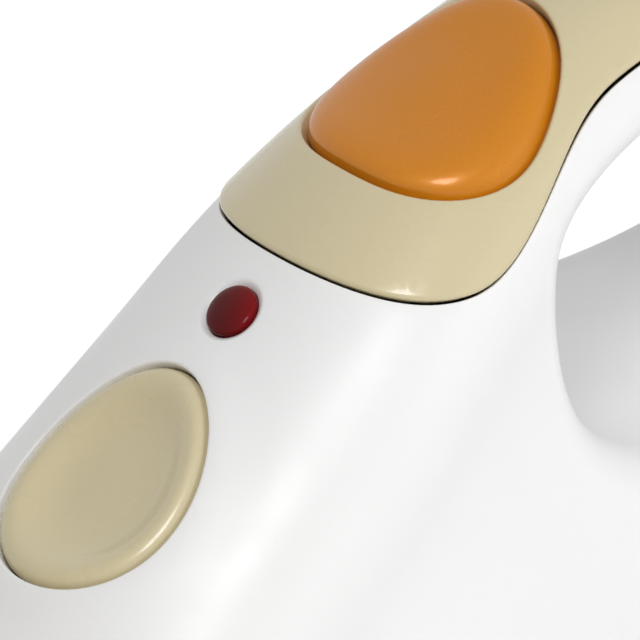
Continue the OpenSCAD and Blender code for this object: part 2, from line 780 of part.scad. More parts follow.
module outlet_socket() {
    color(grey) place()
        difference() {
            union() {
                along_x(nose_x - 0.01, socket_end, socket_r, outlet_z);
                along_x(collar_x, nose_x, collar_r, outlet_z);
                for (y = cheek_in)
                    translate([lever_x - cheek_l / 2, y, outlet_z + socket_r / 2])
                        cube([cheek_l, cheek_t, lever_z + cheek_l / 2 - outlet_z - socket_r / 2]);
            }
            along_x(collar_x - 1, socket_end - cheek_t, socket_bore / 2, outlet_z);
            along_x(collar_x, socket_end + 1, steam_r + pin_clear, outlet_z);
            pin_y(lever_a[0], lever_a[1], pin_r + 0.02, 40);
            translate([groove_front - seat, -lever_w / 2 - side_play, outlet_z])
                cube([groove_back - groove_front + 2 * seat, lever_w + 2 * side_play, socket_r + 5]);
        }
}
module spigot_seal() {
    color(dark) place()
        translate([seal_x, 0, outlet_z])
            rotate([0, 90, 0])
                rotate_extrude($fn = 48)
                    translate([spigot_r - seal_r, 0])
                        circle(seal_r - 0.04, $fn = 24);
}

// ---- indicator lamp ----
module indicator_lens() {
    color(red) place() on_spine(0)
        difference() {
            union() {
                translate([0, 0, -6])
                    cylinder(r = lens_r, h = 6 - 0.4, $fn = 48);
                intersection() {
                    translate([0, 0, -0.4])
                        cylinder(r = lens_r, h = 4, $fn = 48);
                    translate([0, 0, lens_dome - dome_r])
                        sphere(r = dome_r, $fn = 96);
                }
            }
            translate([0, 0, -7])
                cylinder(r = lamp_r + 0.3, h = 5.4, $fn = 48);
        }
}
dome_r = (lens_r * lens_r + pow(lens_dome + 0.4, 2)) / (2 * (lens_dome + 0.4));
module neon_lamp() {
    color(neon) place() on_spine(0)
        translate([0, 0, -14])
            cylinder(r = lamp_r, h = 12, $fn = 32);
}

// ---- steam plate ----
module rounded(w, h, r) {
    for (s = [-1, 1], t = [-1, 1])
        translate([s * (w / 2 - r), t * (h / 2 - r)])
            circle(r, $fn = 32);
    square([w - 2 * r, h], center = true);
    square([w, h - 2 * r], center = true);
}
// Flat outline across the body's length: its width lies along Y and its height along Z
module slab(x, t) {
    translate([x, 0, outlet_z])
        rotate([90, 0, 90])
            linear_extrude(t)
                children();
}
module hood_block(g) {
    hull() {
        slab(rim_x, 7) rounded(plate_w - 2 * g, plate_h - 2 * g, plate_corner - g);
        slab(hood_x - 9, 5) rounded(plate_w * 0.82 - 2 * g, plate_h * 0.66 - 2 * g, plate_corner - g);
        slab(hood_x - 2 - g, 2) rounded(plate_w * crown_w - 2 * g, plate_h * 0.5 - 2 * g, plate_corner - g);
    }
}
post_spots = [for (y = [-1, 0, 1], t = [-1, 1]) [y * (plate_w / 2 - 16), t * (plate_h / 2 - 13)]];
module plate_hood() {
    color(cream) place()
        difference() {
            union() {
                difference() {
                    hood_block(0);
                    difference() {
                        hood_block(hood_wall);
                        for (p = post_spots)
                            along_x(rim_x + plate_t + 1, hood_x, plate_post_r, outlet_z + p[1], p[0]);
                    }
                    slab(rim_x - 1, 1.2 + plate_t)
                        rounded(plate_w - 2 * hood_wall, plate_h - 2 * hood_wall, plate_corner - hood_wall);
                }
            }
            along_x(hood_x - 9, hood_x + 1, spigot_hole + 2, outlet_z);
            for (p = post_spots)
                along_x(rim_x - 1, rim_x + plate_screw_l + 1, screw_r + pilot_clear, outlet_z + p[1], p[0]);
            for (q = [30 : 120 : 270])
                along_x(hood_x - 9, hood_x + 1, screw_r + pilot_clear,
                    outlet_z + flange_screw_r * sin(q), flange_screw_r * cos(q));
        }
}
flange_screw_r = neck_r + 3.6;
module plate_neck() {
    color(grey) place()
        difference() {
            union() {
                along_x(hood_x, hood_x + flange_t, flange_r, outlet_z);
                along_x(hood_x + flange_t - 0.01, collar_x - seat, neck_r, outlet_z);
                along_x(collar_x - 2 * seat - 0.01, spigot_end, spigot_r, outlet_z);
                along_x(hood_x - hood_wall - 1, hood_x + 1, spigot_hole + 1.9, outlet_z);
            }
            along_x(hood_x - 9, spigot_end + 1, spigot_hole, outlet_z);
            difference() {
                along_x(groove_front, groove_back, spigot_r + 1, outlet_z);
                along_x(groove_front - 1, groove_back + 1, spigot_r - groove_d, outlet_z);
            }
            difference() {
                along_x(seal_x - seal_w / 2, seal_x + seal_w / 2, spigot_r + 1, outlet_z);
                along_x(seal_x - seal_w, seal_x + seal_w, spigot_r - seal_r * 2, outlet_z);
            }
            for (q = [30 : 120 : 270])
                along_x(hood_x - 1, hood_x + flange_t + 1, screw_r + pilot_clear,
                    outlet_z + flange_screw_r * sin(q), flange_screw_r * cos(q));
        }
}
module neck_screws() {
    color(steel) place()
        for (q = [30 : 120 : 270]) {
            y = flange_screw_r * cos(q);
            z = outlet_z + flange_screw_r * sin(q);
            along_x(hood_x - 4, hood_x + flange_t, screw_r, z, y);
            along_x(hood_x + flange_t, hood_x + flange_t + 1.8, head_r - 0.2, z, y);
        }
}
hole_rows = floor((plate_h - 34) / 2 / hole_pitch);
hole_cols = floor((plate_w - 40) / 2 / hole_pitch);
module diffuser() {
    color(steel) place()
        difference() {
            slab(rim_x, plate_t)
                difference() {
                    rounded(plate_w - 2 * hood_wall - 2 * seat, plate_h - 2 * hood_wall - 2 * seat,
                        plate_corner - hood_wall - seat);
                    for (i = [-hole_cols : hole_cols], j = [-hole_rows : hole_rows])
                        if ((i + j) % 2 == 0)
                            translate([i * hole_pitch, j * hole_pitch])
                                circle(hole_r, $fn = 24);
                    for (p = post_spots)
                        translate(p)
                            circle(screw_r + pilot_clear, $fn = 24);
                }
        }
}
module diffuser_screws() {
    color(steel) place()
        for (p = post_spots) {
            along_x(rim_x, rim_x + plate_screw_l, screw_r, outlet_z + p[1], p[0]);
            along_x(rim_x - plate_head_t, rim_x, head_r - 0.2, outlet_z + p[1], p[0]);
        }
}
module plate_gasket() {
    color(dark) place()
        slab(plate_x, gasket_d)
            difference() {
                rounded(plate_w, plate_h, plate_corner);
                rounded(plate_w - 2 * gasket_w, plate_h - 2 * gasket_w, plate_corner - gasket_w);
            }
}

// ---- filler ----
module filler_neck() {
    color(grey) place() on_filler()
        difference() {
            union() {
                translate([0, 0, tower_foot])
                    cylinder(r = tower_r, h = tower_top - tower_foot, $fn = 64);
                translate([0, 0, -pipe_len])
                    cylinder(r = pipe_r, h = pipe_len, $fn = 48);
            }
            translate([0, 0, -pipe_len - 1])
                cylinder(r = pipe_r - 1.8, h = pipe_len + 20, $fn = 48);
            translate([0, 0, tower_top - 10])
                cylinder(r = mouth_r, h = 20, $fn = 48);
        }
}
cap_plug = 7;
cap_wall = 1.9;
cap_step = 1.5;
plug_r = mouth_r - 0.3;
plug_wall = 2.7;
seal_at = 3;
seal_half = 1.1;
grips = 18;
module filler_cap() {
    color(cream) place() on_filler()
        translate([0, 0, tower_top + seat])
            union() {
                rotate_extrude($fn = 64)
                    polygon([[0, cap_h - cap_wall], [plug_r - plug_wall, cap_h - cap_wall],
                        [plug_r - plug_wall, -cap_plug], [plug_r, -cap_plug],
                        [plug_r, -seal_at - seal_half], [mouth_r - 2 * seal_r, -seal_at - seal_half],
                        [mouth_r - 2 * seal_r, -seal_at + seal_half], [plug_r, -seal_at + seal_half],
                        [plug_r, 0], [cap_r, 0], [cap_r, cap_h - cap_step],
                        [cap_r - cap_step, cap_h], [0, cap_h]]);
                for (i = [0 : grips - 1])
                    rotate(360 * i / grips)
                        translate([cap_r - 0.2, 0, 0.5])
                            cylinder(r = 1, h = cap_h - cap_step - 1, $fn = 16);
            }
}
module cap_seal() {
    color(dark) place() on_filler()
        translate([0, 0, tower_top + seat - seal_at])
            rotate_extrude($fn = 48)
                translate([mouth_r - seal_r, 0])
                    circle(seal_r - 0.04, $fn = 24);
}
module pipe_grommet() {
    color(dark) place()
        translate([port_x, 0, tank_top])
            difference() {
                cylinder(r = pipe_r + 3.4, h = 3, $fn = 48);
                rotate([0, filler_lean, 0])
                    cylinder(r = pipe_r + pilot_clear, h = 30, center = true, $fn = 48);
            }
}

// ---- water tank, pump and boiler ----
module tank_block(g) {
    translate([tank_x + g, 0, 0])
        rotate([90, 0, 90])
            linear_extrude(tank_len - 2 * g)
                translate([0, (tank_top + tank_foot) / 2])
                    rounded(tank_w - 2 * g, tank_h - 2 * g, tank_round - g);
}
outlet_port = [pump_x + pump_l + 9, tank_foot];
module water_tank() {
    color(milky) place()
        difference() {
            tank_block(0);
            tank_block(tank_wall);
            translate([port_x, 0, tank_top])
                rotate([0, filler_lean, 0])
                    cylinder(r = pipe_r + pilot_clear, h = 12, center = true, $fn = 48);
            translate([outlet_port[0], 0, tank_foot - 1])
                cylinder(r = hose_r - hose_wall, h = tank_wall + 2, $fn = 24);
        }
}
// Quarter bend in side view: it turns from straight down (or up) into the X direction
module bend(c, r_bend, r, start) {
    translate([c[0], 0, c[1]])
        rotate([90, 0, 0])
            rotate([0, 0, start])
                rotate_extrude(angle = 90, $fn = 48)
                    translate([r_bend, 0])
                        circle(r, $fn = 24);
}
hose_bend = 7;
module tank_run(r) {
    translate([outlet_port[0], 0, pump_z + hose_bend])
        cylinder(r = r, h = tank_foot - pump_z - hose_bend, $fn = 24);
    bend([outlet_port[0] - hose_bend, pump_z + hose_bend], hose_bend, r, -90);
    along_x(pump_x + pump_l, outlet_port[0] - hose_bend, r, pump_z);
}
module tank_hose() {
    color(dark) place()
        difference() {
            tank_run(hose_r);
            tank_run(hose_r - hose_wall);
        }
}
module pump() {
    color(grey) place()
        union() {
            along_x(pump_x + 8, pump_x + pump_l - 8, pump_r, pump_z);
            along_x(pump_x, pump_x + pump_l, hose_r + 1.4, pump_z);
            translate([pump_x + 12, -pump_r, plinth_z])
                cube([pump_l - 24, 2 * pump_r, pump_z - plinth_z]);
        }
}
inlet_z = outlet_z - boiler_r + 8;
hose_wall = 1;
feed_bend = (inlet_z - pump_z) / 2;
module boiler_run(r) {
    x = boiler_back + lid_t;
    along_x(x + 2 * feed_bend, pump_x, r, pump_z);
    bend([x + 2 * feed_bend, pump_z + feed_bend], feed_bend, r, 180);
    bend([x, inlet_z - feed_bend], feed_bend, r, 0);
}
module boiler_hose() {
    color(dark) place()
        difference() {
            boiler_run(hose_r);
            boiler_run(hose_r - hose_wall);
        }
}
boiler_wall = 4;
lid_r = boiler_r + 3;
rib_h = 1.6;
rib_pitch = 8;
pad_w = 18;
module boiler_body() {
    color(cast) place()
        difference() {
            union() {
                along_x(boiler_x, boiler_back, boiler_r, outlet_z);
                along_x(boiler_back - lid_t, boiler_back, lid_r, outlet_z);
                for (x = [boiler_x + 6 : rib_pitch : boiler_back - 10])
                    along_x(x, x + 2, boiler_r + rib_h, outlet_z);
                translate([boiler_x + rib_pitch * 2 + 2, -pad_w / 2, outlet_z + boiler_r - boiler_wall])
                    cube([pad_w, pad_w, boiler_wall + 2]);
            }
            along_x(boiler_x + boiler_wall, boiler_back + 1, boiler_r - boiler_wall, outlet_z);
            along_x(boiler_x - 1, boiler_x + boiler_wall + 1, steam_r - pipe_wall, outlet_z);
            lid_holes(boiler_back - lid_t + 1, boiler_back + 1);
        }
}
lid_screws = 6;
lid_screw_r = boiler_r + 0.2;
function lid_y(i) = lid_screw_r * cos(360 * i / lid_screws);
function lid_z(i) = outlet_z + lid_screw_r * sin(360 * i / lid_screws);
module lid_holes(x0, x1) {
    for (i = [0 : lid_screws - 1])
        along_x(x0, x1, screw_r + pilot_clear, lid_z(i), lid_y(i));
}
module boiler_lid() {
    color(cast) place()
        difference() {
            along_x(boiler_back + seat, boiler_back + lid_t, lid_r, outlet_z);
            lid_holes(boiler_back, boiler_back + lid_t + 1);
            along_x(boiler_back, boiler_back + lid_t + 1, hose_r - hose_wall, inlet_z);
        }
}
module boiler_gasket() {
    color(dark) place()
        difference() {
            along_x(boiler_back, boiler_back + seat, boiler_r - 1.8, outlet_z);
            along_x(boiler_back - 1, boiler_back + 1, boiler_r - boiler_wall, outlet_z);
        }
}
module boiler_screws() {
    color(steel) place()
        for (i = [0 : lid_screws - 1]) {
            along_x(boiler_back - lid_t + 1.2, boiler_back + lid_t + 0.01, screw_r, lid_z(i), lid_y(i));
            along_x(boiler_back + lid_t, boiler_back + lid_t + 2, head_r - 0.4, lid_z(i), lid_y(i));
        }
}
module heater_terminals() {
    color(steel) place()
        for (s = [-1, 1]) {
            along_x(boiler_back + lid_t, boiler_back + lid_t + 4, 3, outlet_z, s * 11);
            along_x(boiler_back + lid_t + 4, boiler_back + lid_t + 7, 1.6, outlet_z, s * 11);
        }
}
pipe_wall = 1.2;
module steam_pipe() {
    color(steel) place()
        difference() {
            along_x(socket_end - cheek_t + 0.4, boiler_x, steam_r, outlet_z);
            along_x(socket_end - cheek_t, boiler_x + 1, steam_r - pipe_wall, outlet_z);
        }
}
module thermostat() {
    color(steel) place()
        translate([boiler_x + rib_pitch * 2 + 2 + pad_w / 2, 0, outlet_z + boiler_r + 2]) {
            cylinder(r = 7.5, h = 3, $fn = 48);
            cylinder(r = 6, h = 7, $fn = 48);
        }
}
// Thermal fuse held on the boiler's side by a clip
fuse_x = boiler_x + 6 + 2 * rib_pitch + 2;
module thermal_fuse() {
    color(steel) place()
        along_x(fuse_x + 0.3, fuse_x + 0.3 + 16, 2, outlet_z, boiler_r + rib_h + 2.1);
}
// Relief valve on the lid, above the heater's ends
valve_z = outlet_z + 11;
module relief_valve() {
    color(brass) place() {
        along_x(boiler_back + lid_t, boiler_back + lid_t + 2, 4.6, valve_z);
        along_x(boiler_back + lid_t + 2, boiler_back + lid_t + 6, 3.4, valve_z);
    }
}
// Terminal block on the pan beside the gland
block_size = [9, 26, 11];
wire_hole_r = 1.9;
wire_pitch = 8;
module terminal_block() {
    color(cream) place()
        difference() {
            translate([block_x, -block_size[1] / 2, plinth_z])
                cube(block_size);
            for (i = [-1 : 1])
                along_x(block_x - 1, block_x + block_size[0] + 1, wire_hole_r,
                    plinth_z + block_size[2] / 2, i * wire_pitch);
        }
}
module boiler_brackets() {
    color(steel) place()
        for (x = bracket_xs)
            difference() {
                translate([x, -bracket_w / 2, plinth_z])
                    cube([bracket_t, bracket_w, outlet_z - plinth_z]);
                along_x(x - 1, x + bracket_t + 1, boiler_r + pin_clear, outlet_z);
            }
}

// ---- board, gland, feet, screws ----
module control_board() {
    color(green) place()
        difference() {
            translate([board_x, -board_w / 2, board_z - board_h / 2])
                cube([board_t, board_w, board_h]);
            for (s = [-1, 1], t = [-1, 1])
                along_x(board_x - 1, board_x + 3, screw_r + pilot_clear,
                    board_z + t * board_post[1], s * board_post[0]);
        }
}
// Relay, capacitor and plug of the board: depth, width, height
relay_size = [10, 12, 15];
can_size = [9, 4];
plug_size = [5, 12, 6];
module board_parts() {
    color(dark) place() {
        translate([board_x - relay_size[0], -relay_size[1] - 2, board_z - relay_size[2] / 2])
            cube(relay_size);
        along_x(board_x - can_size[0], board_x, can_size[1], board_z, can_size[1] + 3);
        translate([board_x - plug_size[0], 2, board_z - 2 * plug_size[2]])
            cube(plug_size);
    }
}
module board_screws() {
    color(steel) place()
        for (s = [-1, 1], t = [-1, 1]) {
            y = s * board_post[0];
            z = board_z + t * board_post[1];
            along_x(board_x, board_x + 6, screw_r - 0.5, z, y);
            along_x(board_x - 1.4, board_x, head_r - 0.6, z, y);
        }
}
module cord_gland() {
    color(dark) place()
        difference() {
            union() {
                along_x(tail_x - gland_in, tail_x - gland_lip, gland_r, gland_z);
                along_x(tail_x - gland_lip, tail_x, gland_r + 3, gland_z);
            }
            along_x(tail_x - gland_in - 1, tail_x + 1, cord_r + pilot_clear, gland_z);
        }
}
module rubber_feet() {
    color(dark) place()
        for (x = foot_xs, s = [-1, 1])
            translate([x, s * foot_y(x), floor_z]) {
                cylinder(r = foot_r, h = foot_h, $fn = 48);
                cylinder(r = foot_stem_r, h = foot_h + foot_stem, $fn = 24);
            }
}
module base_screws() {
    color(steel) place()
        for (x = post_xs, s = [-1, 1])
            translate([x, s * post_y(x), pan_screw_z]) {
                cylinder(r = screw_r, h = pan_screw_l, $fn = 24);
                translate([0, 0, -head_t])
                    cylinder(r = head_r, h = head_t, $fn = 24);
            }
}

main_housing();
handle_cover();
base_pan();
steam_button();
microswitch();
switch_plunger();
switch_terminals();
release_button();
latch_lever();
lever_pin();
lever_spring();
outlet_socket();
spigot_seal();
indicator_lens();
neon_lamp();
plate_hood();
plate_neck();
neck_screws();
diffuser();
diffuser_screws();
plate_gasket();
filler_neck();
filler_cap();
cap_seal();
pipe_grommet();
water_tank();
tank_hose();
pump();
boiler_hose();
boiler_body();
boiler_lid();
boiler_gasket();
boiler_screws();
heater_terminals();
steam_pipe();
thermostat();
thermal_fuse();
relief_valve();
terminal_block();
boiler_brackets();
control_board();
board_parts();
board_screws();
cord_gland();
rubber_feet();
base_screws();
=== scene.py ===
import json
import math

import bpy
import numpy as np
from bpy.props import FloatProperty, FloatVectorProperty, IntProperty, PointerProperty
from mathutils import Matrix, Vector

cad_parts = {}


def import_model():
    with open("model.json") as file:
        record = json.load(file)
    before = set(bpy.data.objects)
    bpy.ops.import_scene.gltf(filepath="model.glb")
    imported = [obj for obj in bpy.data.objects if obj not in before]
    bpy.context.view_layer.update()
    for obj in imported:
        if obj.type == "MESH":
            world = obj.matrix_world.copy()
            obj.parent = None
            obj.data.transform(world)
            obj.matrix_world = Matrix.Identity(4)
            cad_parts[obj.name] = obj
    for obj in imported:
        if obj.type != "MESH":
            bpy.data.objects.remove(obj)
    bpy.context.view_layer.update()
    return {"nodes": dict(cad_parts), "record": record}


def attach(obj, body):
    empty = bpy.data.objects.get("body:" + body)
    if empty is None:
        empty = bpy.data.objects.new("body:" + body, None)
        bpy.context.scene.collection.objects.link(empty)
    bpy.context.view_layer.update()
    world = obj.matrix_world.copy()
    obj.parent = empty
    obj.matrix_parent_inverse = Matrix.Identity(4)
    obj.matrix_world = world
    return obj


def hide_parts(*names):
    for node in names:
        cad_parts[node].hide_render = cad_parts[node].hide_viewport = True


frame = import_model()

bl_info = {
    "name": "Wallpaper Steamer",
    "version": (1, 0, 0),
    "blender": (4, 5, 0),
    "location": "View3D > Sidebar > Steamer",
    "description": "Dresses the packed frame of a hand-held wallpaper steamer",
    "category": "Object",
}

MM = 0.001

# ---------------------------------------------------------------- body curves
# Millimetres, measured from the lamp on the spine: X runs to the tail, Y across, Z up.
# CENTRE_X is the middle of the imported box, LAMP_H the lamp's height over the floor.
NOSE_X, TAIL_X = -70.0, 178.0
CENTRE_X = 28.0
LAMP_H = 134.0
WALL = 2.2

# The spine runs up a straight slope, over a wide bend and a tighter crest, and falls to the tail's tip.
SLOPE = math.radians(39.6)
BEND_X, BEND_R = 8.9, 165.0
TIGHTEN_X, CREST_R = 72.0, 80.0
BEND_C = (BEND_X + BEND_R * math.sin(SLOPE), BEND_X * math.tan(SLOPE) - BEND_R * math.cos(SLOPE))
CREST_SLOPE = math.asin(math.sin(SLOPE) - (TIGHTEN_X - BEND_X) / BEND_R)
CREST_X = TIGHTEN_X + CREST_R * math.sin(CREST_SLOPE)
CREST_Z = BEND_C[1] + BEND_R * math.cos(CREST_SLOPE) + CREST_R * (1 - math.cos(CREST_SLOPE))
TIP_Z = -40.0
TAIL_POWER = 2.6

# Heights, from the floor up.
FLOOR_Z = -LAMP_H
UNDER_Z = 6 - LAMP_H
PAN_Z = 22 - LAMP_H
GLAND_Z = FLOOR_Z + 34
OUTLET_Z = 54 - LAMP_H
BELT_Z = 54 - LAMP_H
DECK_Z = 100.5 - LAMP_H

# The sections start round on the nose, are wide over the belly and narrow at the grip.
NOSE_R = 23.0
SWELL_X = NOSE_X + 28
BELLY_HALF = 50.0
BELLY_BLEND = 42.0
SHOULDER_HALF, SHOULDER_TAPER, SHOULDER_RISE = 38.1, 0.118, 37.0
GRIP_HALF, GRIP_RISE = 21.5, 18.5
GRIP_FROM, GRIP_LENGTH = 8.0, 92.0
RISE_FROM, RISE_LENGTH = -5.0, 95.0
ARCH_POWER = 2.11
BASE_SQUARE = 1.2
PLAN_X, PLAN_POWER = 80.0, 3.5
LIFT_X, LIFT_POWER = 110.0, 6


def ease(t):
    """Smooth step from 0 to 1."""
    u = np.clip(t, 0.0, 1.0)
    return u * u * (3 - 2 * u)


def fall(t, power):
    """Quarter of a superellipse, from 1 down to 0."""
    return np.maximum(0.0, 1 - np.maximum(0.0, t) ** power) ** (1 / power)


def mix(a, b, t):
    return a + (b - a) * t


def spine(x):
    """Top line of the body."""
    x = np.asarray(x, float)
    bend = BEND_C[1] + np.sqrt(np.maximum(0.0, BEND_R ** 2 - (x - BEND_C[0]) ** 2))
    crest = CREST_Z - CREST_R + np.sqrt(np.maximum(0.0, CREST_R ** 2 - (x - CREST_X) ** 2))
    tail = TIP_Z + (CREST_Z - TIP_Z) * fall((x - CREST_X) / (TAIL_X - CREST_X), TAIL_POWER)
    return np.where(x < BEND_X, x * math.tan(SLOPE),
                    np.where(x < TIGHTEN_X, bend, np.where(x < CREST_X, crest, tail)))


def swell(x):
    """Growth of the nose from its round face to the full body."""
    inner = np.clip((SWELL_X - np.asarray(x, float)) / (SWELL_X - NOSE_X), 0.0, 1.0)
    return np.sqrt(1 - inner ** 2)


def plan(x):
    """Share of the full width, which falls off towards the tail."""
    return fall((np.asarray(x, float) - PLAN_X) / (TAIL_X - PLAN_X), PLAN_POWER)


def under(x):
    """Bottom line of the body."""
    x = np.asarray(x, float)
    lifted = TIP_Z - (TIP_Z - UNDER_Z) * fall((x - LIFT_X) / (TAIL_X - LIFT_X), LIFT_POWER)
    return np.where(x < LIFT_X, mix(OUTLET_Z - NOSE_R, UNDER_Z, swell(x)), lifted)


def arch_half(x):
    """Half width of the arch that tops a section."""
    side = mix(SHOULDER_HALF - SHOULDER_TAPER * np.asarray(x, float), GRIP_HALF,
               ease((x - GRIP_FROM) / GRIP_LENGTH))
    return mix(NOSE_R, side, swell(x)) * plan(x)


def arch_rise(x):
    """Height of that arch."""
    rise = mix(SHOULDER_RISE, GRIP_RISE, ease((x - RISE_FROM) / RISE_LENGTH))
    return mix(NOSE_R, rise, swell(x))


def belly_z(x):
    """Height at which a section is widest."""
    return np.minimum(BELT_Z, spine(x) - arch_rise(x) - 1)


def belly_half(x):
    """Half width of a section at its widest."""
    room = ease((spine(x) - arch_rise(x) - BELT_Z) / BELLY_BLEND)
    return np.where(x > 0, BELLY_HALF * plan(x), mix(arch_half(x), BELLY_HALF, room))


def section(x, v):
    """Point of the skin: |v| 0 to 1 is the arch, to 2 the side and to 3 the base."""
    a = np.maximum(0.5, arch_half(x))
    w = np.maximum(0.6, belly_half(x))
    b = arch_rise(x)
    arch_end = spine(x) - b
    belt = np.minimum(belly_z(x), arch_end - 0.5)
    low = np.minimum(belt - 1, under(x))
    power = 2 * (1 + BASE_SQUARE * swell(x))
    s = np.abs(v)
    q = np.clip(s, 0, 1) * math.pi / 2
    f = np.clip(s - 1, 0, 1)
    r = np.clip(s - 2, 0, 1) * math.pi / 2
    c, n = np.maximum(np.cos(r), 0), np.maximum(np.sin(r), 0)
    k = (c ** power + n ** power) ** (-1 / power)
    bulge = (np.sin(q) ** ARCH_POWER + np.maximum(np.cos(q), 0) ** ARCH_POWER) ** (-1 / ARCH_POWER)
    y = np.where(s <= 1, a * np.sin(q) * bulge, np.where(s <= 2, mix(a, w, ease(f)), w * c * k))
    z = np.where(s <= 1, arch_end + b * np.cos(q) * bulge,
                 np.where(s <= 2, mix(arch_end, belt, f), belt - (belt - low) * n * k))
    return np.sign(v) * y, z


def even_stations():
    """Stations along the body, spaced by how far the outline moves between them."""
    quarter = np.linspace(0, math.pi / 2, 4000)
    x = np.concatenate([NOSE_X + (SWELL_X - NOSE_X) * (1 - np.cos(np.linspace(0, math.pi / 2, 1500))),
                        np.linspace(SWELL_X, CREST_X, 4000)[1:],
                        CREST_X + (TAIL_X - 0.002 - CREST_X) * np.sin(quarter)[1:]])
    lines = [(x, spine(x)), (x, under(x)), (x, belly_half(x))]
    move = np.max([np.hypot(np.diff(a), np.diff(b)) for a, b in lines], axis=0)
    end = x[1:]
    by_lamp = np.abs((end + x[:-1]) / 2) < 8
    spacing = np.select([end > 150, (end > 8) & (end < 66), end < -8, by_lamp], [1.9, 1.35, 1.35, 0.75], 1.7)
    s = np.concatenate([[0], np.cumsum(move / spacing)])
    return np.interp(np.linspace(0, s[-1], int(s[-1]) + 1), s, x)


STATIONS = even_stations()
NOSE_RINGS = 7
NOSE_MID = float(spine(NOSE_X)) - NOSE_R
SOCKET_R = 14.3


def skin_point(u, v):
    """Skin at station u (below 0 on the nose face) and section place v."""
    x = np.interp(u, np.arange(len(STATIONS)), STATIONS)
    y, z = section(x, v)
    inwards = np.clip(-u / NOSE_RINGS, 0, 1)
    shrink = mix(1, SOCKET_R / NOSE_R, inwards)
    face_z = mix(NOSE_MID, OUTLET_Z, inwards) + (z - NOSE_MID) * shrink
    return np.stack([x, np.where(u < 0, y * shrink, y), np.where(u < 0, face_z, z)], axis=1)


# ------------------------------------------------------------- outlines in the skin
def spine_place(s):
    """Point and slope of the spine at a distance behind the lamp."""
    line_end = BEND_X / math.cos(SLOPE)
    if s < line_end:
        return s * math.cos(SLOPE), s * math.sin(SLOPE), SLOPE
    q = SLOPE - (s - line_end) / BEND_R
    return BEND_C[0] - BEND_R * math.sin(q), BEND_C[1] + BEND_R * math.cos(q), q


# Places of what shows in the skin, with the half sizes of the buttons and the gaps round them.
BUTTON = spine_place(51.5)
BUTTON_R, BUTTON_GAP = 21.2, 0.5
RELEASE = spine_place(-33.6)
RELEASE_LONG, RELEASE_WIDE, RELEASE_TAPER, RELEASE_GAP = 21.2, 17.8, 0.12, 0.3
LAMP = spine_place(0.0)
LAMP_HOLE_R = 6.1
FILLER_X, FILLER_LEAN = 154.0, math.radians(12)
FILLER = (FILLER_X, float(spine(FILLER_X)), -FILLER_LEAN)
FILLER_HOLE_R = 15.4
GLAND_HOLE_R = 10.2

# Distance given to points on the other side of the body, which a cut has to leave alone.
FAR = 50.0


def on_plane(place, p):
    """Coordinates of points along, across and over a place on the spine."""
    dx, dz = p[:, 0] - place[0], p[:, 2] - place[1]
    c, s = math.cos(place[2]), math.sin(place[2])
    return dx * c + dz * s, p[:, 1], dz * c - dx * s


def off_plane(place, u, v, w):
    """Points from their coordinates along, across and over a place."""
    c, s = math.cos(place[2]), math.sin(place[2])
    return np.stack([place[0] + u * c - w * s, v, place[1] + u * s + w * c], axis=1)


def crest_height(x, y):
    """Height of the arch at a distance from the middle."""
    a, b = arch_half(x), arch_rise(x)
    return spine(x) - b * (1 - fall(np.minimum(np.abs(y) / a, 1.0), ARCH_POWER))


def skin_over(place, u, v):
    """Height of the skin over the plane of a place on the spine."""
    c, s = math.cos(place[2]), math.sin(place[2])
    w = np.zeros_like(u)
    for _ in range(8):
        w = w + c * (crest_height(place[0] + u * c - w * s, v) - place[1] - u * s - w * c)
    return w


def button_radius(q):
    """Rounded triangle that points to the tail; the waves draw its lean, its sides and its corners."""
    return BUTTON_R * (1 - 0.108 * np.cos(q) + 0.059 * np.cos(3 * q) - 0.02 * np.cos(4 * q))


def button_outline(q):
    r = button_radius(q)
    return r * np.cos(q), r * np.sin(q)


def release_outline(q):
    return RELEASE_LONG * np.cos(q), RELEASE_WIDE * (1 - RELEASE_TAPER * np.cos(q)) * np.sin(q)


def outside_button(p, gap):
    """Distance of points from the steam button's outline, FAR for those well under it."""
    u, v, _ = on_plane(BUTTON, p)
    away = np.hypot(u, v) - button_radius(np.arctan2(v, u)) - gap
    return np.where(p[:, 2] > -20, away, FAR)


def outside_release(p, gap):
    """The same for the release button, roughly in millimetres."""
    u, v, w = on_plane(RELEASE, p)
    half = RELEASE_WIDE * (1 - RELEASE_TAPER * np.clip(u / RELEASE_LONG, -1.5, 1.5))
    ring = np.sqrt((u / (RELEASE_LONG + gap)) ** 2 + (v / (half + gap)) ** 2) - 1
    return np.where(w > -30, ring * 18, FAR)


def outside_round(place, radius, depth):
    """The same for a round hole about a place, down to a depth."""
    def away(p):
        u, v, w = on_plane(place, p)
        return np.where(w > -depth, np.hypot(u, v) - radius, FAR)
    return away


outside_lamp = outside_round(LAMP, LAMP_HOLE_R, 20)
outside_filler = outside_round(FILLER, FILLER_HOLE_R, 35)


def outside_gland(p):
    return np.where(p[:, 0] > 150, np.hypot(p[:, 1], p[:, 2] - GLAND_Z) - GLAND_HOLE_R, FAR)


def away_from_line(line, p):
    """Distance of each point to each stretch of a closed line, and how far along it the near place is."""
    d = np.roll(line, -1, axis=0) - line
    q = p[:, None, :] - line
    t = np.clip((q * d).sum(2) / np.maximum(1e-12, (d * d).sum(1)), 0, 1)
    return np.hypot(*np.moveaxis(q - t[..., None] * d, 2, 0)), t


def outline_distance(line, p, chunk=4000):
    """Signed distance of points to a closed line in side view, positive inside it."""
    (ax, az), (bx, bz) = line.T, np.roll(line, -1, axis=0).T
    rise = np.where(bz == az, 1e-12, bz - az)
    out = np.empty(len(p))
    for i in range(0, len(p), chunk):
        part = p[i:i + chunk]
        x, z = part[:, :1], part[:, 1:]
        crossing = ((az > z) != (bz > z)) & (x < ax + (z - az) * (bx - ax) / rise)
        near = away_from_line(line, part)[0].min(1)
        out[i:i + chunk] = np.where(crossing.sum(1) % 2 == 1, near, -near)
    return out


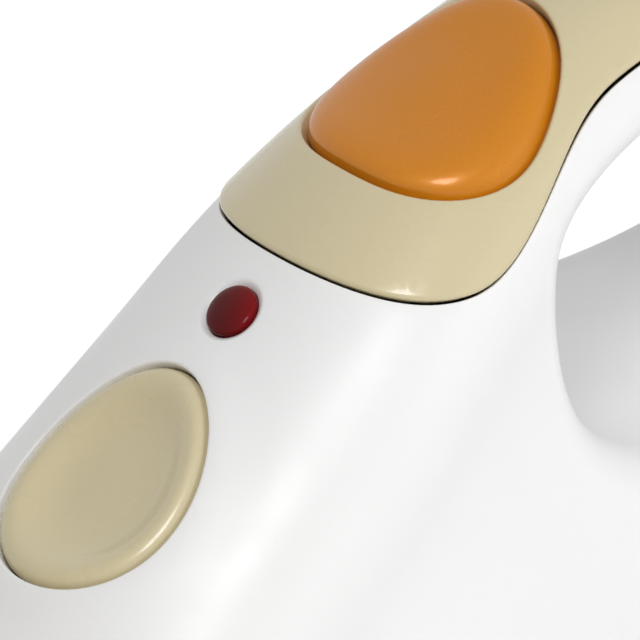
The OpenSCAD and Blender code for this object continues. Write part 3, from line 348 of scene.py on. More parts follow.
# The seam dips in front of the handle, follows the handle's side and rounds up at the back.
COVER_FRONT, COVER_ROUND, COVER_BACK = -16.0, 112.0, 134.0
DIP_X, DIP_Z, DIP_CURVE = 22.0, 5.0, 0.0125
SIDE_DROP = 8.4
TURN_X, TURN_LENGTH = 26.0, 40.0
OVERHEAD = 90.0


def seam(x):
    """Height of the seam between housing and handle cover."""
    front = DIP_Z + DIP_CURVE * (x - DIP_X) ** 2
    e = np.clip((x - COVER_ROUND) / (COVER_BACK - COVER_ROUND), 0, 1)
    back = spine(x) - SIDE_DROP * np.sqrt(1 - e * e)
    return mix(front, back, ease((x - TURN_X) / TURN_LENGTH))


def cover_line():
    """Closed line round the cover in side view: the seam, then over the top."""
    rounding = np.sin(np.linspace(0, math.pi / 2, 40))
    x = np.concatenate([np.arange(COVER_FRONT, COVER_ROUND, 1.0),
                        COVER_ROUND + (COVER_BACK - COVER_ROUND) * rounding])
    return np.vstack([np.column_stack([x, seam(x)]), [(COVER_BACK, OVERHEAD), (COVER_FRONT, OVERHEAD)]])


COVER_LINE = cover_line()


def inside_cover(p, margin):
    return outline_distance(COVER_LINE, p[:, [0, 2]]) - margin


# ---------------------------------------------------------------- the hand opening
OPEN_MID = -6.0
OPEN_HALF = 42.6
OPEN_C = 44.4 + OPEN_HALF
HANDLE_T = 20.2
TOP_SQUARE, DECK_SQUARE = 5.0, 3.0
END_EDGE, HANDLE_EDGE, DECK_EDGE = 3.2, 5.0, 14.0
DECK_CROWN = 1.2


def smoothed(row, times):
    """Closed row of values, each averaged with its neighbours."""
    for _ in range(times):
        row = (np.roll(row, 1, 0) + 2 * row + np.roll(row, -1, 0)) / 4
    return row


def opening_line():
    """Points, outward normals and edge radii round the hand opening."""
    q = np.linspace(0, 2 * math.pi, 720, endpoint=False)
    c, s = np.cos(q), np.sin(q)
    power = np.where(s >= 0, TOP_SQUARE, DECK_SQUARE)
    k = (np.abs(c) ** power + np.abs(s) ** power) ** (-1 / power)
    x = OPEN_C + OPEN_HALF * c * k
    far = np.where(s >= 0, spine(x) - HANDLE_T, DECK_Z)
    p = smoothed(np.stack([x, mix(OPEN_MID, far, np.abs(s) * k)], axis=1), 6)
    d = np.roll(p, -2, 0) - np.roll(p, 2, 0)
    n = np.stack([d[:, 1], -d[:, 0]], axis=1) / np.hypot(*d.T)[:, None]
    r = END_EDGE + (np.where(n[:, 1] < 0, DECK_EDGE, HANDLE_EDGE) - END_EDGE) * n[:, 1] ** 2
    return p, n, smoothed(r, 30)


OPEN_P, OPEN_N, OPEN_R = opening_line()
OPEN_OUTER = OPEN_P + OPEN_N * OPEN_R[:, None]


def outside_opening(p):
    return -outline_distance(OPEN_OUTER, p[:, [0, 2]])


# ------------------------------------------------------------------ sheets of skin
# A grid point nearer to a cut than this share of its edge moves onto the cut, and an edge whose points are
# all nearer to an outline than this many millimetres is that outline's own.
SNAP = 0.36
ON_RIM = 0.6


class Sheet:
    """A patch of skin in (u, v), cut by smooth outlines and closed into a thick shell."""

    def __init__(self, us, vs, surface):
        n, m = len(us), len(vs)
        self.surface = surface
        self.uv = np.stack([np.repeat(us, m), np.tile(vs, n)], axis=1).astype(float)
        i, j = np.meshgrid(np.arange(n - 1), np.arange(m - 1), indexing="ij")
        a = (i * m + j).ravel()
        self.faces = [tuple(f) for f in np.stack([a, a + m, a + m + 1, a + 1], axis=1).tolist()]
        self.fixed = np.zeros(len(self.uv), bool)
        self.points = surface(self.uv[:, 0], self.uv[:, 1])

    def cut(self, field):
        """Keep the part where the field is positive, and put points on its zero line."""
        value = field(self.points)
        live = [f for f in self.faces if max(value[i] for i in f) > 0]
        crossing = {(min(a, b), max(a, b)) for f in live for a, b in zip(f, f[1:] + f[:1])
                    if value[a] * value[b] < 0}
        if not crossing:
            self.faces = live
            return
        pairs = np.array(sorted(crossing))
        lo, hi = np.zeros(len(pairs)), np.ones(len(pairs))
        sign = np.sign(value[pairs[:, 0]])
        for _ in range(26):
            t = (lo + hi) / 2
            uv = mix(self.uv[pairs[:, 0]], self.uv[pairs[:, 1]], t[:, None])
            same = np.sign(field(self.surface(uv[:, 0], uv[:, 1]))) == sign
            lo, hi = np.where(same, t, lo), np.where(same, hi, t)
        t = (lo + hi) / 2
        uv = mix(self.uv[pairs[:, 0]], self.uv[pairs[:, 1]], t[:, None])
        best = {}
        for k, (a, b) in enumerate(pairs):
            end, away = (a, t[k]) if t[k] < 0.5 else (b, 1 - t[k])
            on_axis = self.uv[end, 1] in (0.0, 3.0) and self.uv[end, 1] != uv[k, 1]
            free = not on_axis and not self.fixed[end]
            if free and away < min(SNAP, best.get(end, (1, 0))[0]):
                best[end] = (away, k)
        for end, (_, k) in best.items():
            self.uv[end] = uv[k]
            value[end] = 0
            self.fixed[end] = True
        new, extra = {}, []
        for k, (a, b) in enumerate(pairs):
            if value[a] * value[b] < 0:
                new[(a, b)] = len(self.uv) + len(extra)
                extra.append(uv[k])
        if extra:
            self.uv = np.vstack([self.uv, extra])
            value = np.concatenate([value, np.zeros(len(extra))])
            self.fixed = np.concatenate([self.fixed, np.ones(len(extra), bool)])
        self.points = self.surface(self.uv[:, 0], self.uv[:, 1])
        kept = []
        for f in live:
            if min(value[i] for i in f) >= 0:
                if max(value[i] for i in f) > 0:
                    kept.append(f)
                continue
            ring = []
            for a, b in zip(f, f[1:] + f[:1]):
                if value[a] >= 0:
                    ring.append(a)
                if value[a] * value[b] < 0:
                    ring.append(new[(min(a, b), max(a, b))])
            if len(ring) > 2 and max(value[i] for i in ring) > 0:
                kept.append(tuple(ring))
        self.faces = kept


def weld(points, faces, near=1e-4):
    """Merge points that lie together and drop faces that vanish."""
    key = np.round(points / near).astype(np.int64)
    _, first, back = np.unique(key, axis=0, return_index=True, return_inverse=True)
    back = back.ravel()
    out = []
    for f in faces:
        ring = []
        for i in (back[k] for k in f):
            if not ring or ring[-1] != i:
                ring.append(int(i))
        if len(ring) > 1 and ring[0] == ring[-1]:
            ring.pop()
        if len(set(ring)) > 2:
            out.append(tuple(ring))
    used = sorted({i for f in out for i in f})
    slot = {i: k for k, i in enumerate(used)}
    return points[first][used], [tuple(slot[i] for i in f) for f in out]


def normals_of(points, faces):
    """Smooth normals, weighted by area."""
    normal = np.zeros_like(points)
    for size in {len(f) for f in faces}:
        f = np.array([g for g in faces if len(g) == size])
        corner = points[f]
        n = sum(np.cross(corner[:, k] - corner[:, 0], corner[:, k + 1] - corner[:, 0])
                for k in range(1, size - 1))
        for k in range(size):
            np.add.at(normal, f[:, k], n)
    length = np.linalg.norm(normal, axis=1)
    return normal / np.maximum(length, 1e-12)[:, None]


def rims(faces):
    """Open edges of a mesh as closed rows of points, in the direction of the faces."""
    edges = {(a, b): True for f in faces for a, b in zip(f, f[1:] + f[:1])}
    step = {a: b for a, b in edges if (b, a) not in edges}
    loops = []
    while step:
        start = next(iter(step))
        loop, at = [start], step.pop(start)
        while at != start:
            loop.append(at)
            at = step.pop(at)
        loops.append(loop)
    return loops


def strip(row_a, row_b):
    """Faces between two closed rows of the same length."""
    n = len(row_a)
    return [(row_a[i], row_b[i], row_b[(i + 1) % n], row_a[(i + 1) % n]) for i in range(n)]


def run_on(points, faces, last, rings):
    """Mesh with rings of points joined on, each to the one before, from a row of its points."""
    rows, total, faces = [points], len(points), list(faces)
    for ring in rings:
        row = list(range(total, total + len(ring)))
        rows.append(ring)
        faces += strip(last, row)
        total, last = total + len(ring), row
    return np.vstack(rows), faces, last


def rolled(edge, wall, steps=4):
    """Profile of an edge that rolls over and runs down to the inside of the wall."""
    turn = [math.pi / 2 * k / steps for k in range(1, steps + 1)]
    return [(edge * math.sin(q), edge * (1 - math.cos(q))) for q in turn] + [(edge, wall)]


def thick_shell(points, faces, wall=WALL, edge=0.7, special=()):
    """Closed shell under a skin, with every open edge rolled over and joined to the inside.

    Each special is the field of an outline and the profile that the edge on it gets."""
    normal = normals_of(points, faces)
    count = len(points)
    shell = np.vstack([points, points - wall * normal])
    out = list(faces) + [tuple(i + count for i in reversed(f)) for f in faces]
    for loop in rims(faces):
        p, n = points[loop], normal[loop]
        away = np.cross(np.roll(p, -1, 0) - np.roll(p, 1, 0), n)
        away /= np.maximum(np.linalg.norm(away, axis=1), 1e-9)[:, None]
        profile = rolled(edge, wall)
        for field, shape in special:
            if np.abs(field(p)).max() < ON_RIM:
                profile = shape
        rings = [p + out_by * away - down_by * n for out_by, down_by in profile]
        shell, out, last = run_on(shell, out, loop, rings)
        out += strip(last, [i + count for i in loop])
    return shell, out


def mirrored(points, faces):
    """Both halves of a mesh made for the near or far side alone."""
    count = len(points)
    other = [tuple(i + count for i in reversed(f)) for f in faces]
    return weld(np.vstack([points, points * np.array([1, -1, 1])]), faces + other)


def cap_flat(points, faces, loop, rings=5):
    """Close a flat end with rings that shrink to its middle."""
    middle = points[loop].mean(axis=0)
    shrinking = [mix(points[loop], middle, k / rings) for k in range(1, rings + 1)]
    return weld(*run_on(points, faces, loop, shrinking)[:2])


def add_tunnel(points, faces, steps=10):
    """Flare of the hand opening's rim and the half tunnel behind it."""
    loop = next(r for r in rims(faces) if np.abs(outside_opening(points[r])).max() < 0.05)
    p = points[loop]
    distance, share = away_from_line(OPEN_OUTER, p[:, [0, 2]])
    near = distance.argmin(1)
    t = share[np.arange(len(p)), near]

    def at(values):
        """Values of the opening's line at the place nearest to each point."""
        return mix(values[near], np.roll(values, -1, axis=0)[near], t[:, None] if values.ndim > 1 else t)

    base, n, r = at(OPEN_P), at(OPEN_N), at(OPEN_R)
    n = n / np.hypot(*n.T)[:, None]
    half = p[:, 1]
    crown = DECK_CROWN * np.maximum(0, -n[:, 1]) ** 2
    flare = [(r * (1 - math.cos(q)), half - r * (1 - math.sin(q)))
             for q in np.linspace(math.pi / 2, 0, steps + 1)[1:]]
    tunnel = [(-crown * (1 - f * f), (half - r) * f) for f in np.linspace(1, 0, 7)[1:]]
    rings = []
    for push, y in flare + tunnel:
        xz = base + n * push[:, None]
        rings.append(np.stack([xz[:, 0], y, xz[:, 1]], axis=1))
    return run_on(points, faces, loop, rings)[:2]


# ---------------------------------------------------------------- making pieces
def world(points):
    """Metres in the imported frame, from millimetres about the lamp."""
    return (np.asarray(points, float) + [-CENTRE_X, 0, LAMP_H]) * MM


def new_mesh(name, metres, faces, sharp=None):
    mesh = bpy.data.meshes.new(name)
    mesh.from_pydata(metres.tolist(), [], [list(f) for f in faces])
    mesh.shade_smooth()
    if sharp is not None:
        mesh.set_sharp_from_angle(angle=math.radians(sharp))
    return mesh


def new_object(name, mesh):
    obj = bpy.data.objects.new(name, mesh)
    bpy.context.scene.collection.objects.link(obj)
    return obj


def settle(obj, body, slot, replaces):
    """Give a finished piece its material, its body and the CAD nodes it stands for."""
    obj.data.materials.clear()
    obj.data.materials.append(finish(slot))
    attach(obj, body)
    if replaces:
        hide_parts(*replaces)
    return obj


def piece(name, points, faces, slot, body="root", replaces=(), sharp=None):
    """Finished piece from a mesh in millimetres; edges sharper than the angle stay crisp."""
    return settle(new_object(name, new_mesh(name, world(points), faces, sharp)), body, slot, replaces)


def joined(*meshes):
    """Several closed meshes as one."""
    points, faces, total = [], [], 0
    for p, f in meshes:
        points.append(p)
        faces += [tuple(i + total for i in g) for g in f]
        total += len(p)
    return np.vstack(points), faces


def ring_faces(rings, closed=False):
    """Points and faces through rings of equal length."""
    n = len(rings[0])
    rows = [list(range(k * n, (k + 1) * n)) for k in range(len(rings))]
    faces = []
    for a, b in zip(rows, rows[1:] + ([rows[0]] if closed else [])):
        faces += strip(a, b)
    return np.vstack(rings), faces


def ring_solid(rings, closed=False):
    """Closed mesh through rings of equal length; an end ring may be a single point, repeated."""
    points, faces = weld(*ring_faces(rings, closed), 1e-5)
    volume = 0.0
    for f in faces:
        for k in range(1, len(f) - 1):
            volume += np.dot(points[f[0]], np.cross(points[f[k]], points[f[k + 1]]))
    return (points, faces) if volume > 0 else (points, [tuple(reversed(f)) for f in faces])


def lathe(place, profile, n=64, side=0.0):
    """Turned form about the axis of a place: a row of (radius, height), or (outline, height)."""
    q = np.linspace(0, 2 * math.pi, n, endpoint=False)
    rings = []
    for radius, w in profile:
        r = radius(q) if callable(radius) else np.full(n, float(radius))
        rings.append(off_plane(place, r * np.cos(q), r * np.sin(q) + side, np.full(n, float(w))))
    return ring_solid(rings)


def upright(x, z):
    """Place whose axis points straight up."""
    return x, z, 0.0


def rounded_profile(corners, radius, steps=5):
    """Row of points with each corner that has a radius rounded off."""
    out = []
    for k, (x, y) in enumerate(corners):
        r = radius[k] if k < len(radius) else 0
        if r == 0 or k in (0, len(corners) - 1):
            out.append((x, y))
            continue
        p = np.array((x, y))
        a, b = np.array(corners[k - 1]) - p, np.array(corners[k + 1]) - p
        la, lb = np.linalg.norm(a), np.linalg.norm(b)
        reach = min(r, la * 0.49, lb * 0.49)
        start, end = p + a / la * reach, p + b / lb * reach
        for t in np.linspace(0, 1, steps + 1):
            out.append(tuple((1 - t) ** 2 * start + 2 * t * (1 - t) * p + t ** 2 * end))
    return out


def pad_solid(place, outline, profile, n=144):
    """Button that follows the skin: rings of (share of the outline, lift over the skin)."""
    q = np.linspace(0, 2 * math.pi, n, endpoint=False)
    u, v = outline(q)
    return ring_solid([off_plane(place, k * u, k * v, skin_over(place, k * u, k * v) + lift)
                       for k, lift in profile])


BUTTON_THICK = 4.6


def button_profile(rise, depth, rim, edge, drop, steep):
    """Dish, raised rim, rounded edge and drafted side of a button; steep draws the dish's wall to the rim."""
    rows = [(k, rise - depth * (0.5 + 0.5 * math.cos(math.pi * min(1.0, k / rim) ** steep)))
            for k in np.linspace(0, rim, 30)]
    for q in np.radians(np.linspace(0, 80, 12))[1:]:
        rows.append((rim + (edge - rim) * math.sin(q), rise - drop * (1 - math.cos(q))))
    low = rows[-1][1]
    rows += [(mix(edge, 1.0, t), mix(low, -1.2, t)) for t in (0.3, 0.65, 1.0)]
    return rows + [(1.0, -BUTTON_THICK * 0.9)] + [(k, -BUTTON_THICK) for k in (0.985, 0.6, 0.0)]


def button_stem(place, radius, low, rounding):
    """Round pin under a button, from its rounded foot up into the button."""
    return lathe(place, rounded_profile([(0, low), (radius, low), (radius, -4), (0, -4)], [0, rounding]), 32)


def cross_shape(length, half):
    """Outline of a cross recess."""
    def radius(q):
        c, s = np.abs(np.cos(q)) + 1e-9, np.abs(np.sin(q)) + 1e-9
        return np.maximum(np.minimum(length / c, half / s), np.minimum(length / s, half / c))
    return radius


# ------------------------------------------------------------------- node helpers
def add_node(tree, kind, *inputs, **settings):
    """Node with its settings; each input is a plain value, a socket to link, or None."""
    made = tree.nodes.new(kind)
    for key, value in settings.items():
        setattr(made, key, value)
    sockets = [s for s in made.inputs if s.enabled]
    for socket, value in zip(sockets, inputs):
        if value is None:
            continue
        if isinstance(value, bpy.types.NodeSocket):
            tree.links.new(value, socket)
        else:
            socket.default_value = value
    return made


def math_node(tree, operation, *inputs):
    return add_node(tree, "ShaderNodeMath", *inputs, operation=operation).outputs[0]


def new_tree(name, *sockets):
    """Geometry tree whose first input and only output are geometry."""
    tree = bpy.data.node_groups.new(name, "GeometryNodeTree")
    tree.interface.new_socket("Geometry", in_out="INPUT", socket_type="NodeSocketGeometry")
    for label, kind in sockets:
        tree.interface.new_socket(label, in_out="INPUT", socket_type="NodeSocket" + kind)
    tree.interface.new_socket("Geometry", in_out="OUTPUT", socket_type="NodeSocketGeometry")
    return tree, tree.nodes.new("NodeGroupInput").outputs, tree.nodes.new("NodeGroupOutput").inputs


def end_tree(tree, geometry, material, target):
    """Realize Instances and Set Material, at the end of every tree."""
    real = add_node(tree, "GeometryNodeRealizeInstances", geometry)
    painted = add_node(tree, "GeometryNodeSetMaterial", real.outputs[0])
    tree.links.new(material, painted.inputs["Material"])
    tree.links.new(painted.outputs[0], target[0])


def baked(obj, tree, values):
    """Run a tree on an object and keep the result as its plain mesh."""
    modifier = obj.modifiers.new(tree.name, "NODES")
    modifier.node_group = tree
    for item in tree.interface.items_tree:
        if item.in_out == "INPUT" and item.name in values:
            modifier[item.identifier] = values[item.name]
    bpy.context.view_layer.update()
    graph = bpy.context.evaluated_depsgraph_get()
    mesh = bpy.data.meshes.new_from_object(obj.evaluated_get(graph), depsgraph=graph)
    obj.modifiers.remove(modifier)
    obj.data = mesh
    if not len(mesh.polygons):
        raise RuntimeError(f"{tree.name} made nothing for {obj.name}")
    return obj


def fitting_tree():
    """Copies of one fitting on points, each turned to the direction its point holds."""
    name = "Fittings on points"
    if name in bpy.data.node_groups:
        return bpy.data.node_groups[name]
    tree, given, target = new_tree(
        name, ("Fitting", "Object"), ("Size", "Float"), ("Material", "Material"))
    facing = add_node(tree, "GeometryNodeInputNamedAttribute", "facing", data_type="FLOAT_VECTOR")
    turn = add_node(tree, "FunctionNodeAlignRotationToVector", None, None,
                    facing.outputs["Attribute"], axis="Z")
    info = add_node(tree, "GeometryNodeObjectInfo", given["Fitting"])
    points = add_node(tree, "GeometryNodeMeshToPoints", given["Geometry"])
    put = add_node(tree, "GeometryNodeInstanceOnPoints")
    tree.links.new(points.outputs[0], put.inputs["Points"])
    tree.links.new(info.outputs["Geometry"], put.inputs["Instance"])
    tree.links.new(turn.outputs[0], put.inputs["Rotation"])
    tree.links.new(given["Size"], put.inputs["Scale"])
    end_tree(tree, put.outputs[0], given["Material"], target)
    return tree


def fittings(name, shape, spots, slot, body="root", replaces=(), sharp=30):
    """One piece of many like fittings; shape is made about the origin, facing up, in millimetres."""
    points, faces = shape
    template = new_object(name + "_model", new_mesh(name + "_model", points * MM, faces, sharp))
    mesh = bpy.data.meshes.new(name)
    mesh.from_pydata(world([s[0] for s in spots]).tolist(), [], [])
    facing = mesh.attributes.new("facing", "FLOAT_VECTOR", "POINT")
    for k, (_, direction) in enumerate(spots):
        facing.data[k].vector = direction
    obj = new_object(name, mesh)
    baked(obj, fitting_tree(), {"Fitting": template, "Size": 1.0, "Material": finish(slot)})
    bpy.data.objects.remove(template)
    return settle(obj, body, slot, replaces)


ORIGIN = (0.0, 0.0, 0.0)


def screw_shape(shank_r, length, head_r, head_h, recess):
    """Pan-head screw with a cross recess; its seat is at height 0."""
    cross = cross_shape(recess, recess * 0.3)
    depth = head_h * 0.55
    profile = [(0, head_h - depth), (lambda q: cross(q) * 0.8, head_h - depth), (cross, head_h * 0.98)]
    profile += [(head_r * math.sin(q), head_h * (0.55 + 0.45 * math.cos(q)))
                for q in np.linspace(math.asin(min(0.95, recess / head_r * 1.08)), math.pi / 2, 6)]
    profile += [(head_r, 0.1), (head_r - 0.1, 0)]
    profile += [(shank_r, 0)]
    turns = int(length / 1.1)
    pitch = (length - 1.6) / turns
    for k in range(turns):
        w = -0.4 - (length - 1.6) * k / turns
        profile += [(shank_r - 0.28, w), (shank_r - 0.02, w - pitch * 0.45),
                    (shank_r - 0.28, w - pitch * 0.8)]
    profile += [(shank_r * 0.75, -length + 0.9), (0.15, -length + 0.02), (0, -length)]
    return lathe(ORIGIN, profile, 32)


# --------------------------------------------------------------------- materials
def level(code):
    """Linear colour from a display colour whose channels run from 0 to 255."""
    return tuple(c / 12.92 if c <= 0.04045 else ((c + 0.055) / 1.055) ** 2.4
                 for c in (v / 255 for v in code))


def tint(colour, gain):
    """Opaque colour, made darker or lighter."""
    return tuple(min(1.0, c * gain) for c in colour) + (1.0,)


def shader_of(name):
    """New material with its tree, its shader and object coordinates."""
    material = bpy.data.materials.new(name)
    material.use_nodes = True
    tree = material.node_tree
    place = tree.nodes.new("ShaderNodeTexCoord").outputs["Object"]
    return material, tree, tree.nodes["Principled BSDF"], place


def set_inputs(node, values):
    for name, value in values.items():
        node.inputs[name].default_value = value


def noise(tree, place, scale, detail=3.0, rough=0.55):
    made = add_node(tree, "ShaderNodeTexNoise")
    tree.links.new(place, made.inputs["Vector"])
    set_inputs(made, {"Scale": scale, "Detail": detail, "Roughness": rough})
    return made.outputs[0]


def mapped(tree, place, **settings):
    """Object coordinates, shifted, turned or stretched."""
    made = add_node(tree, "ShaderNodeMapping")
    tree.links.new(place, made.inputs["Vector"])
    set_inputs(made, settings)
    return made.outputs[0]


def ranged(tree, value, low=0.0, high=1.0, from_low=0.12, from_high=0.88):
    return add_node(tree, "ShaderNodeMapRange", value, from_low, from_high, low, high,
                    interpolation_type="SMOOTHSTEP").outputs[0]


def weighed(tree, *pairs):
    """Sum of two values, each times its weight."""
    return math_node(tree, "ADD", *(math_node(tree, "MULTIPLY", value, weight) for value, weight in pairs))


def blend_colour(tree, factor, a, b):
    made = tree.nodes.new("ShaderNodeMix")
    made.data_type = "RGBA"
    for key, value in (("Factor_Float", factor), ("A_Color", a), ("B_Color", b)):
        socket = next(s for s in made.inputs if s.identifier == key)
        if isinstance(value, bpy.types.NodeSocket):
            tree.links.new(value, socket)
        else:
            socket.default_value = value
    return next(s for s in made.outputs if s.identifier == "Result_Color")


def paint(tree, shader, share, colour, dark, light):
    """Base colour between a darker and a lighter tone of one colour."""
    tree.links.new(blend_colour(tree, share, tint(colour, dark), tint(colour, light)),
                   shader.inputs["Base Color"])


def polish(tree, shader, share, roughness, low=0.8, high=1.25):
    """Roughness that drifts about its mean."""
    tree.links.new(ranged(tree, share, roughness * low, roughness * high), shader.inputs["Roughness"])


def bump(tree, shader, height, distance, under=None):
    made = tree.nodes.new("ShaderNodeBump")
    set_inputs(made, {"Strength": 1.0, "Distance": distance})
    tree.links.new(height, made.inputs["Height"])
    if under is not None:
        tree.links.new(under, made.inputs["Normal"])
    tree.links.new(made.outputs[0], shader.inputs["Normal"])
    return made.outputs[0]


def moulded(name, colour, roughness, spread, coat=0.0):
    """Glossy moulded plastic: faint flow tone, long ripple and a fine grain."""
    material, tree, shader, place = shader_of(name)
    tone = weighed(tree, (noise(tree, place, 14, 2), 0.7), (noise(tree, place, 900, 1), 0.3))
    paint(tree, shader, ranged(tree, tone), colour, 1 - spread, 1 + spread)
    polish(tree, shader, noise(tree, place, 60, 2), roughness)
    ripple = bump(tree, shader, noise(tree, place, 120, 2), 8e-6)
    bump(tree, shader, noise(tree, place, 2600, 2), 3e-6, under=ripple)
    set_inputs(shader, {"IOR": 1.49})
    if coat:
        set_inputs(shader, {"Coat Weight": coat, "Coat Roughness": 0.06})
    return material


def pearl(name, colour, roughness):
    """Moulded plastic with a fine metallic sheen in it."""
    material, tree, shader, place = shader_of(name)
    flake = add_node(tree, "ShaderNodeTexVoronoi")
    tree.links.new(place, flake.inputs["Vector"])
    set_inputs(flake, {"Scale": 3800})
    spark = ranged(tree, flake.outputs["Distance"], 0, 1, 0.1, 0.75)
    tone = weighed(tree, (spark, 0.45), (noise(tree, place, 22, 3), 0.55))
    paint(tree, shader, ranged(tree, tone), colour, 0.94, 1.06)
    polish(tree, shader, noise(tree, place, 70, 2), roughness)
    ripple = bump(tree, shader, noise(tree, place, 140, 2), 8e-6)
    bump(tree, shader, flake.outputs["Distance"], 4e-6, under=ripple)
    set_inputs(shader, {"Metallic": 0.1, "Specular IOR Level": 0.25})
    set_inputs(shader, {"Coat Weight": 0.3, "Coat Roughness": 0.1})
    return material


def stone_matte(name, colour, roughness, grain):
    """Matt moulded part with a fine spark-eroded grain."""
    material, tree, shader, place = shader_of(name)
    paint(tree, shader, ranged(tree, noise(tree, place, 35, 5)), colour, 0.9, 1.08)
    polish(tree, shader, noise(tree, place, 500, 3), roughness, 0.88, 1.12)
    bump(tree, shader, noise(tree, place, 1700, 3), grain)
    return material


def metal(name, colour, roughness, stretch, scratch):
    """Metal with lines of brushing or casting grain; stretch lengthens them along one axis."""
    material, tree, shader, place = shader_of(name)
    lines = noise(tree, mapped(tree, place, Scale=stretch), 900, 4, 0.7)
    paint(tree, shader, ranged(tree, noise(tree, place, 30, 4)), colour, 0.9, 1.05)
    polish(tree, shader, lines, roughness, 0.75, 1.3)
    bump(tree, shader, lines, scratch)
    set_inputs(shader, {"Metallic": 1.0})
    return material


def clouded(name, colour, roughness, passing, ior):
    """Plastic or glass that lets light through."""
    material, tree, shader, place = shader_of(name)
    haze = noise(tree, place, 40, 4)
    paint(tree, shader, ranged(tree, haze), colour, 0.94, 1.04)
    polish(tree, shader, haze, roughness)
    bump(tree, shader, noise(tree, place, 500, 2), 5e-6)
    set_inputs(shader, {"Transmission Weight": passing, "IOR": ior})
    return material


def lens_material(name, colour):
    """Deep red lens with painted light, lighter on one side as if lit from there, with fine moulded rings
    under a clear gloss.
    """
    material, tree, shader, place = shader_of(name)
    centred = mapped(tree, place, Location=tuple(-v for v in world([[0, 0, 0]])[0]))
    rings = add_node(tree, "ShaderNodeTexWave", wave_type="RINGS", rings_direction="SPHERICAL")
    tree.links.new(centred, rings.inputs["Vector"])
    set_inputs(rings, {"Scale": 420})
    # Painted light: the red runs from darker to lighter across one diagonal of the lens, standing in for its
    # lit side.
    x, y, _ = add_node(tree, "ShaderNodeSeparateXYZ", centred).outputs
    side = ranged(tree, math_node(tree, "SUBTRACT", x, y), 0, 1, -0.004, 0.009)
    paint(tree, shader, side, colour, 0.7, 1.7)
    bump(tree, shader, rings.outputs["Fac"], 1.2e-5)
    set_inputs(shader, {"Roughness": 0.16, "Specular IOR Level": 0.1})
    set_inputs(shader, {"Coat Weight": 0.08, "Coat Roughness": 0.05})
    return material


def board_material(name, colour):
    """Green board with fine copper tracks under its lacquer."""
    material, tree, shader, place = shader_of(name)
    track = add_node(tree, "ShaderNodeTexBrick")
    tree.links.new(mapped(tree, place, Rotation=(0, math.radians(90), 0)), track.inputs["Vector"])
    set_inputs(track, {"Scale": 260, "Mortar Size": 0.03})
    paint(tree, shader, track.outputs["Fac"], colour, 1.0, 2.0)
    bump(tree, shader, track.outputs["Fac"], 3e-5)
    set_inputs(shader, {"Roughness": 0.3})
    return material


def finish(slot):
    """Material of a slot, made when it is first asked for."""
    name = "steamer_" + slot
    if name in bpy.data.materials:
        return bpy.data.materials[name]
    c = bpy.context.scene.steamer_colours
    make = {
        "housing_white": lambda: moulded(name, c.housing, 0.36, spread=0.008),
        "cream": lambda: moulded(name, c.cream, 0.26, spread=0.03, coat=0.35),
        "orange": lambda: pearl(name, c.button, 0.3),
        "lens_red": lambda: lens_material(name, c.lens),
        "neon": lambda: clouded(name, level((240, 160, 110)), 0.05, 0.8, 1.47),
        "socket_grey": lambda: stone_matte(name, level((142, 144, 149)), 0.5, 1.2e-5),
        "switch_black": lambda: stone_matte(name, level((38, 38, 41)), 0.45, 1.0e-5),
        "plunger_red": lambda: stone_matte(name, level((150, 32, 26)), 0.4, 0.8e-5),
        "brass": lambda: metal(name, level((214, 182, 104)), 0.28, (1, 1, 1), 4e-6),
        "steel": lambda: metal(name, level((196, 198, 202)), 0.3, (0.08, 1, 1), 6e-6),
        "zinc": lambda: metal(name, level((176, 178, 182)), 0.36, (1, 1, 1), 5e-6),
        "spring": lambda: metal(name, level((150, 152, 158)), 0.3, (1, 1, 1), 3e-6),
        "plate_aluminium": lambda: metal(name, level((206, 208, 210)), 0.32, (1, 0.05, 1), 8e-6),
        "rubber": lambda: stone_matte(name, c.rubber, 0.62, 2.0e-5),
        "tank": lambda: clouded(name, level((226, 232, 236)), 0.35, 0.45, 1.5),
        "cast": lambda: metal(name, level((168, 170, 172)), 0.48, (0.6, 0.6, 0.6), 3e-5),
        "board": lambda: board_material(name, level((32, 98, 58))),
    }
    return make[slot]()


# ------------------------------------------------------------------- user settings
class SteamerSizes(bpy.types.PropertyGroup):
    """Sizes of the outer finish, in millimetres, and the number of ribs"""
    seam_gap: FloatProperty(name="Seam gap", description="Open line between cover and housing, mm",
                            default=0.2, min=0.1, max=0.6)
    seam_edge: FloatProperty(name="Seam edge", description="Radius of the housing's edges along the seams, mm",
                             default=0.25, min=0.15, max=1.2)
    cover_edge: FloatProperty(name="Cover edge", description="Radius of the cover's rolled edge, mm",
                              default=0.8, min=0.2, max=1.2)
    cover_rise: FloatProperty(name="Cover rise", description="Height of the cover over the housing, mm",
                              default=0.75, min=0.0, max=1.2)
    well_edge: FloatProperty(name="Well edge", description="Radius of the rolled edges round the buttons, mm",
                             default=0.5, min=0.3, max=1.5)
    lip_rise: FloatProperty(name="Lip rise", description="Height of the soft lip round the release button, mm",
                            default=0.7, min=0.0, max=1.5)
    lip_spread: FloatProperty(name="Lip spread", description="Width over which that lip fades, mm",
                              default=4.5, min=1.0, max=10.0)
    button_rise: FloatProperty(name="Button rise", description="Height of the steam button's rim, mm",
                               default=1.5, min=1.0, max=3.0)
    button_dish: FloatProperty(name="Button dish", description="Depth of the thumb dish, mm",
                               default=1.6, min=0.4, max=2.2)
    release_dish: FloatProperty(name="Release dish", description="Depth of the release button's dish, mm",
                                default=4.0, min=1.0, max=4.4)
    rib_count: IntProperty(name="Cap ribs", description="Number of grip ribs round the filler cap",
                           default=18, min=8, max=40)
    hole_radius: FloatProperty(name="Steam hole", description="Radius of a steam hole in the plate, mm",
                               default=1.8, min=1.0, max=2.6)
    hole_pitch: FloatProperty(name="Hole pitch", description="Distance between rows of steam holes, mm",
                              default=14.0, min=10.0, max=20.0)


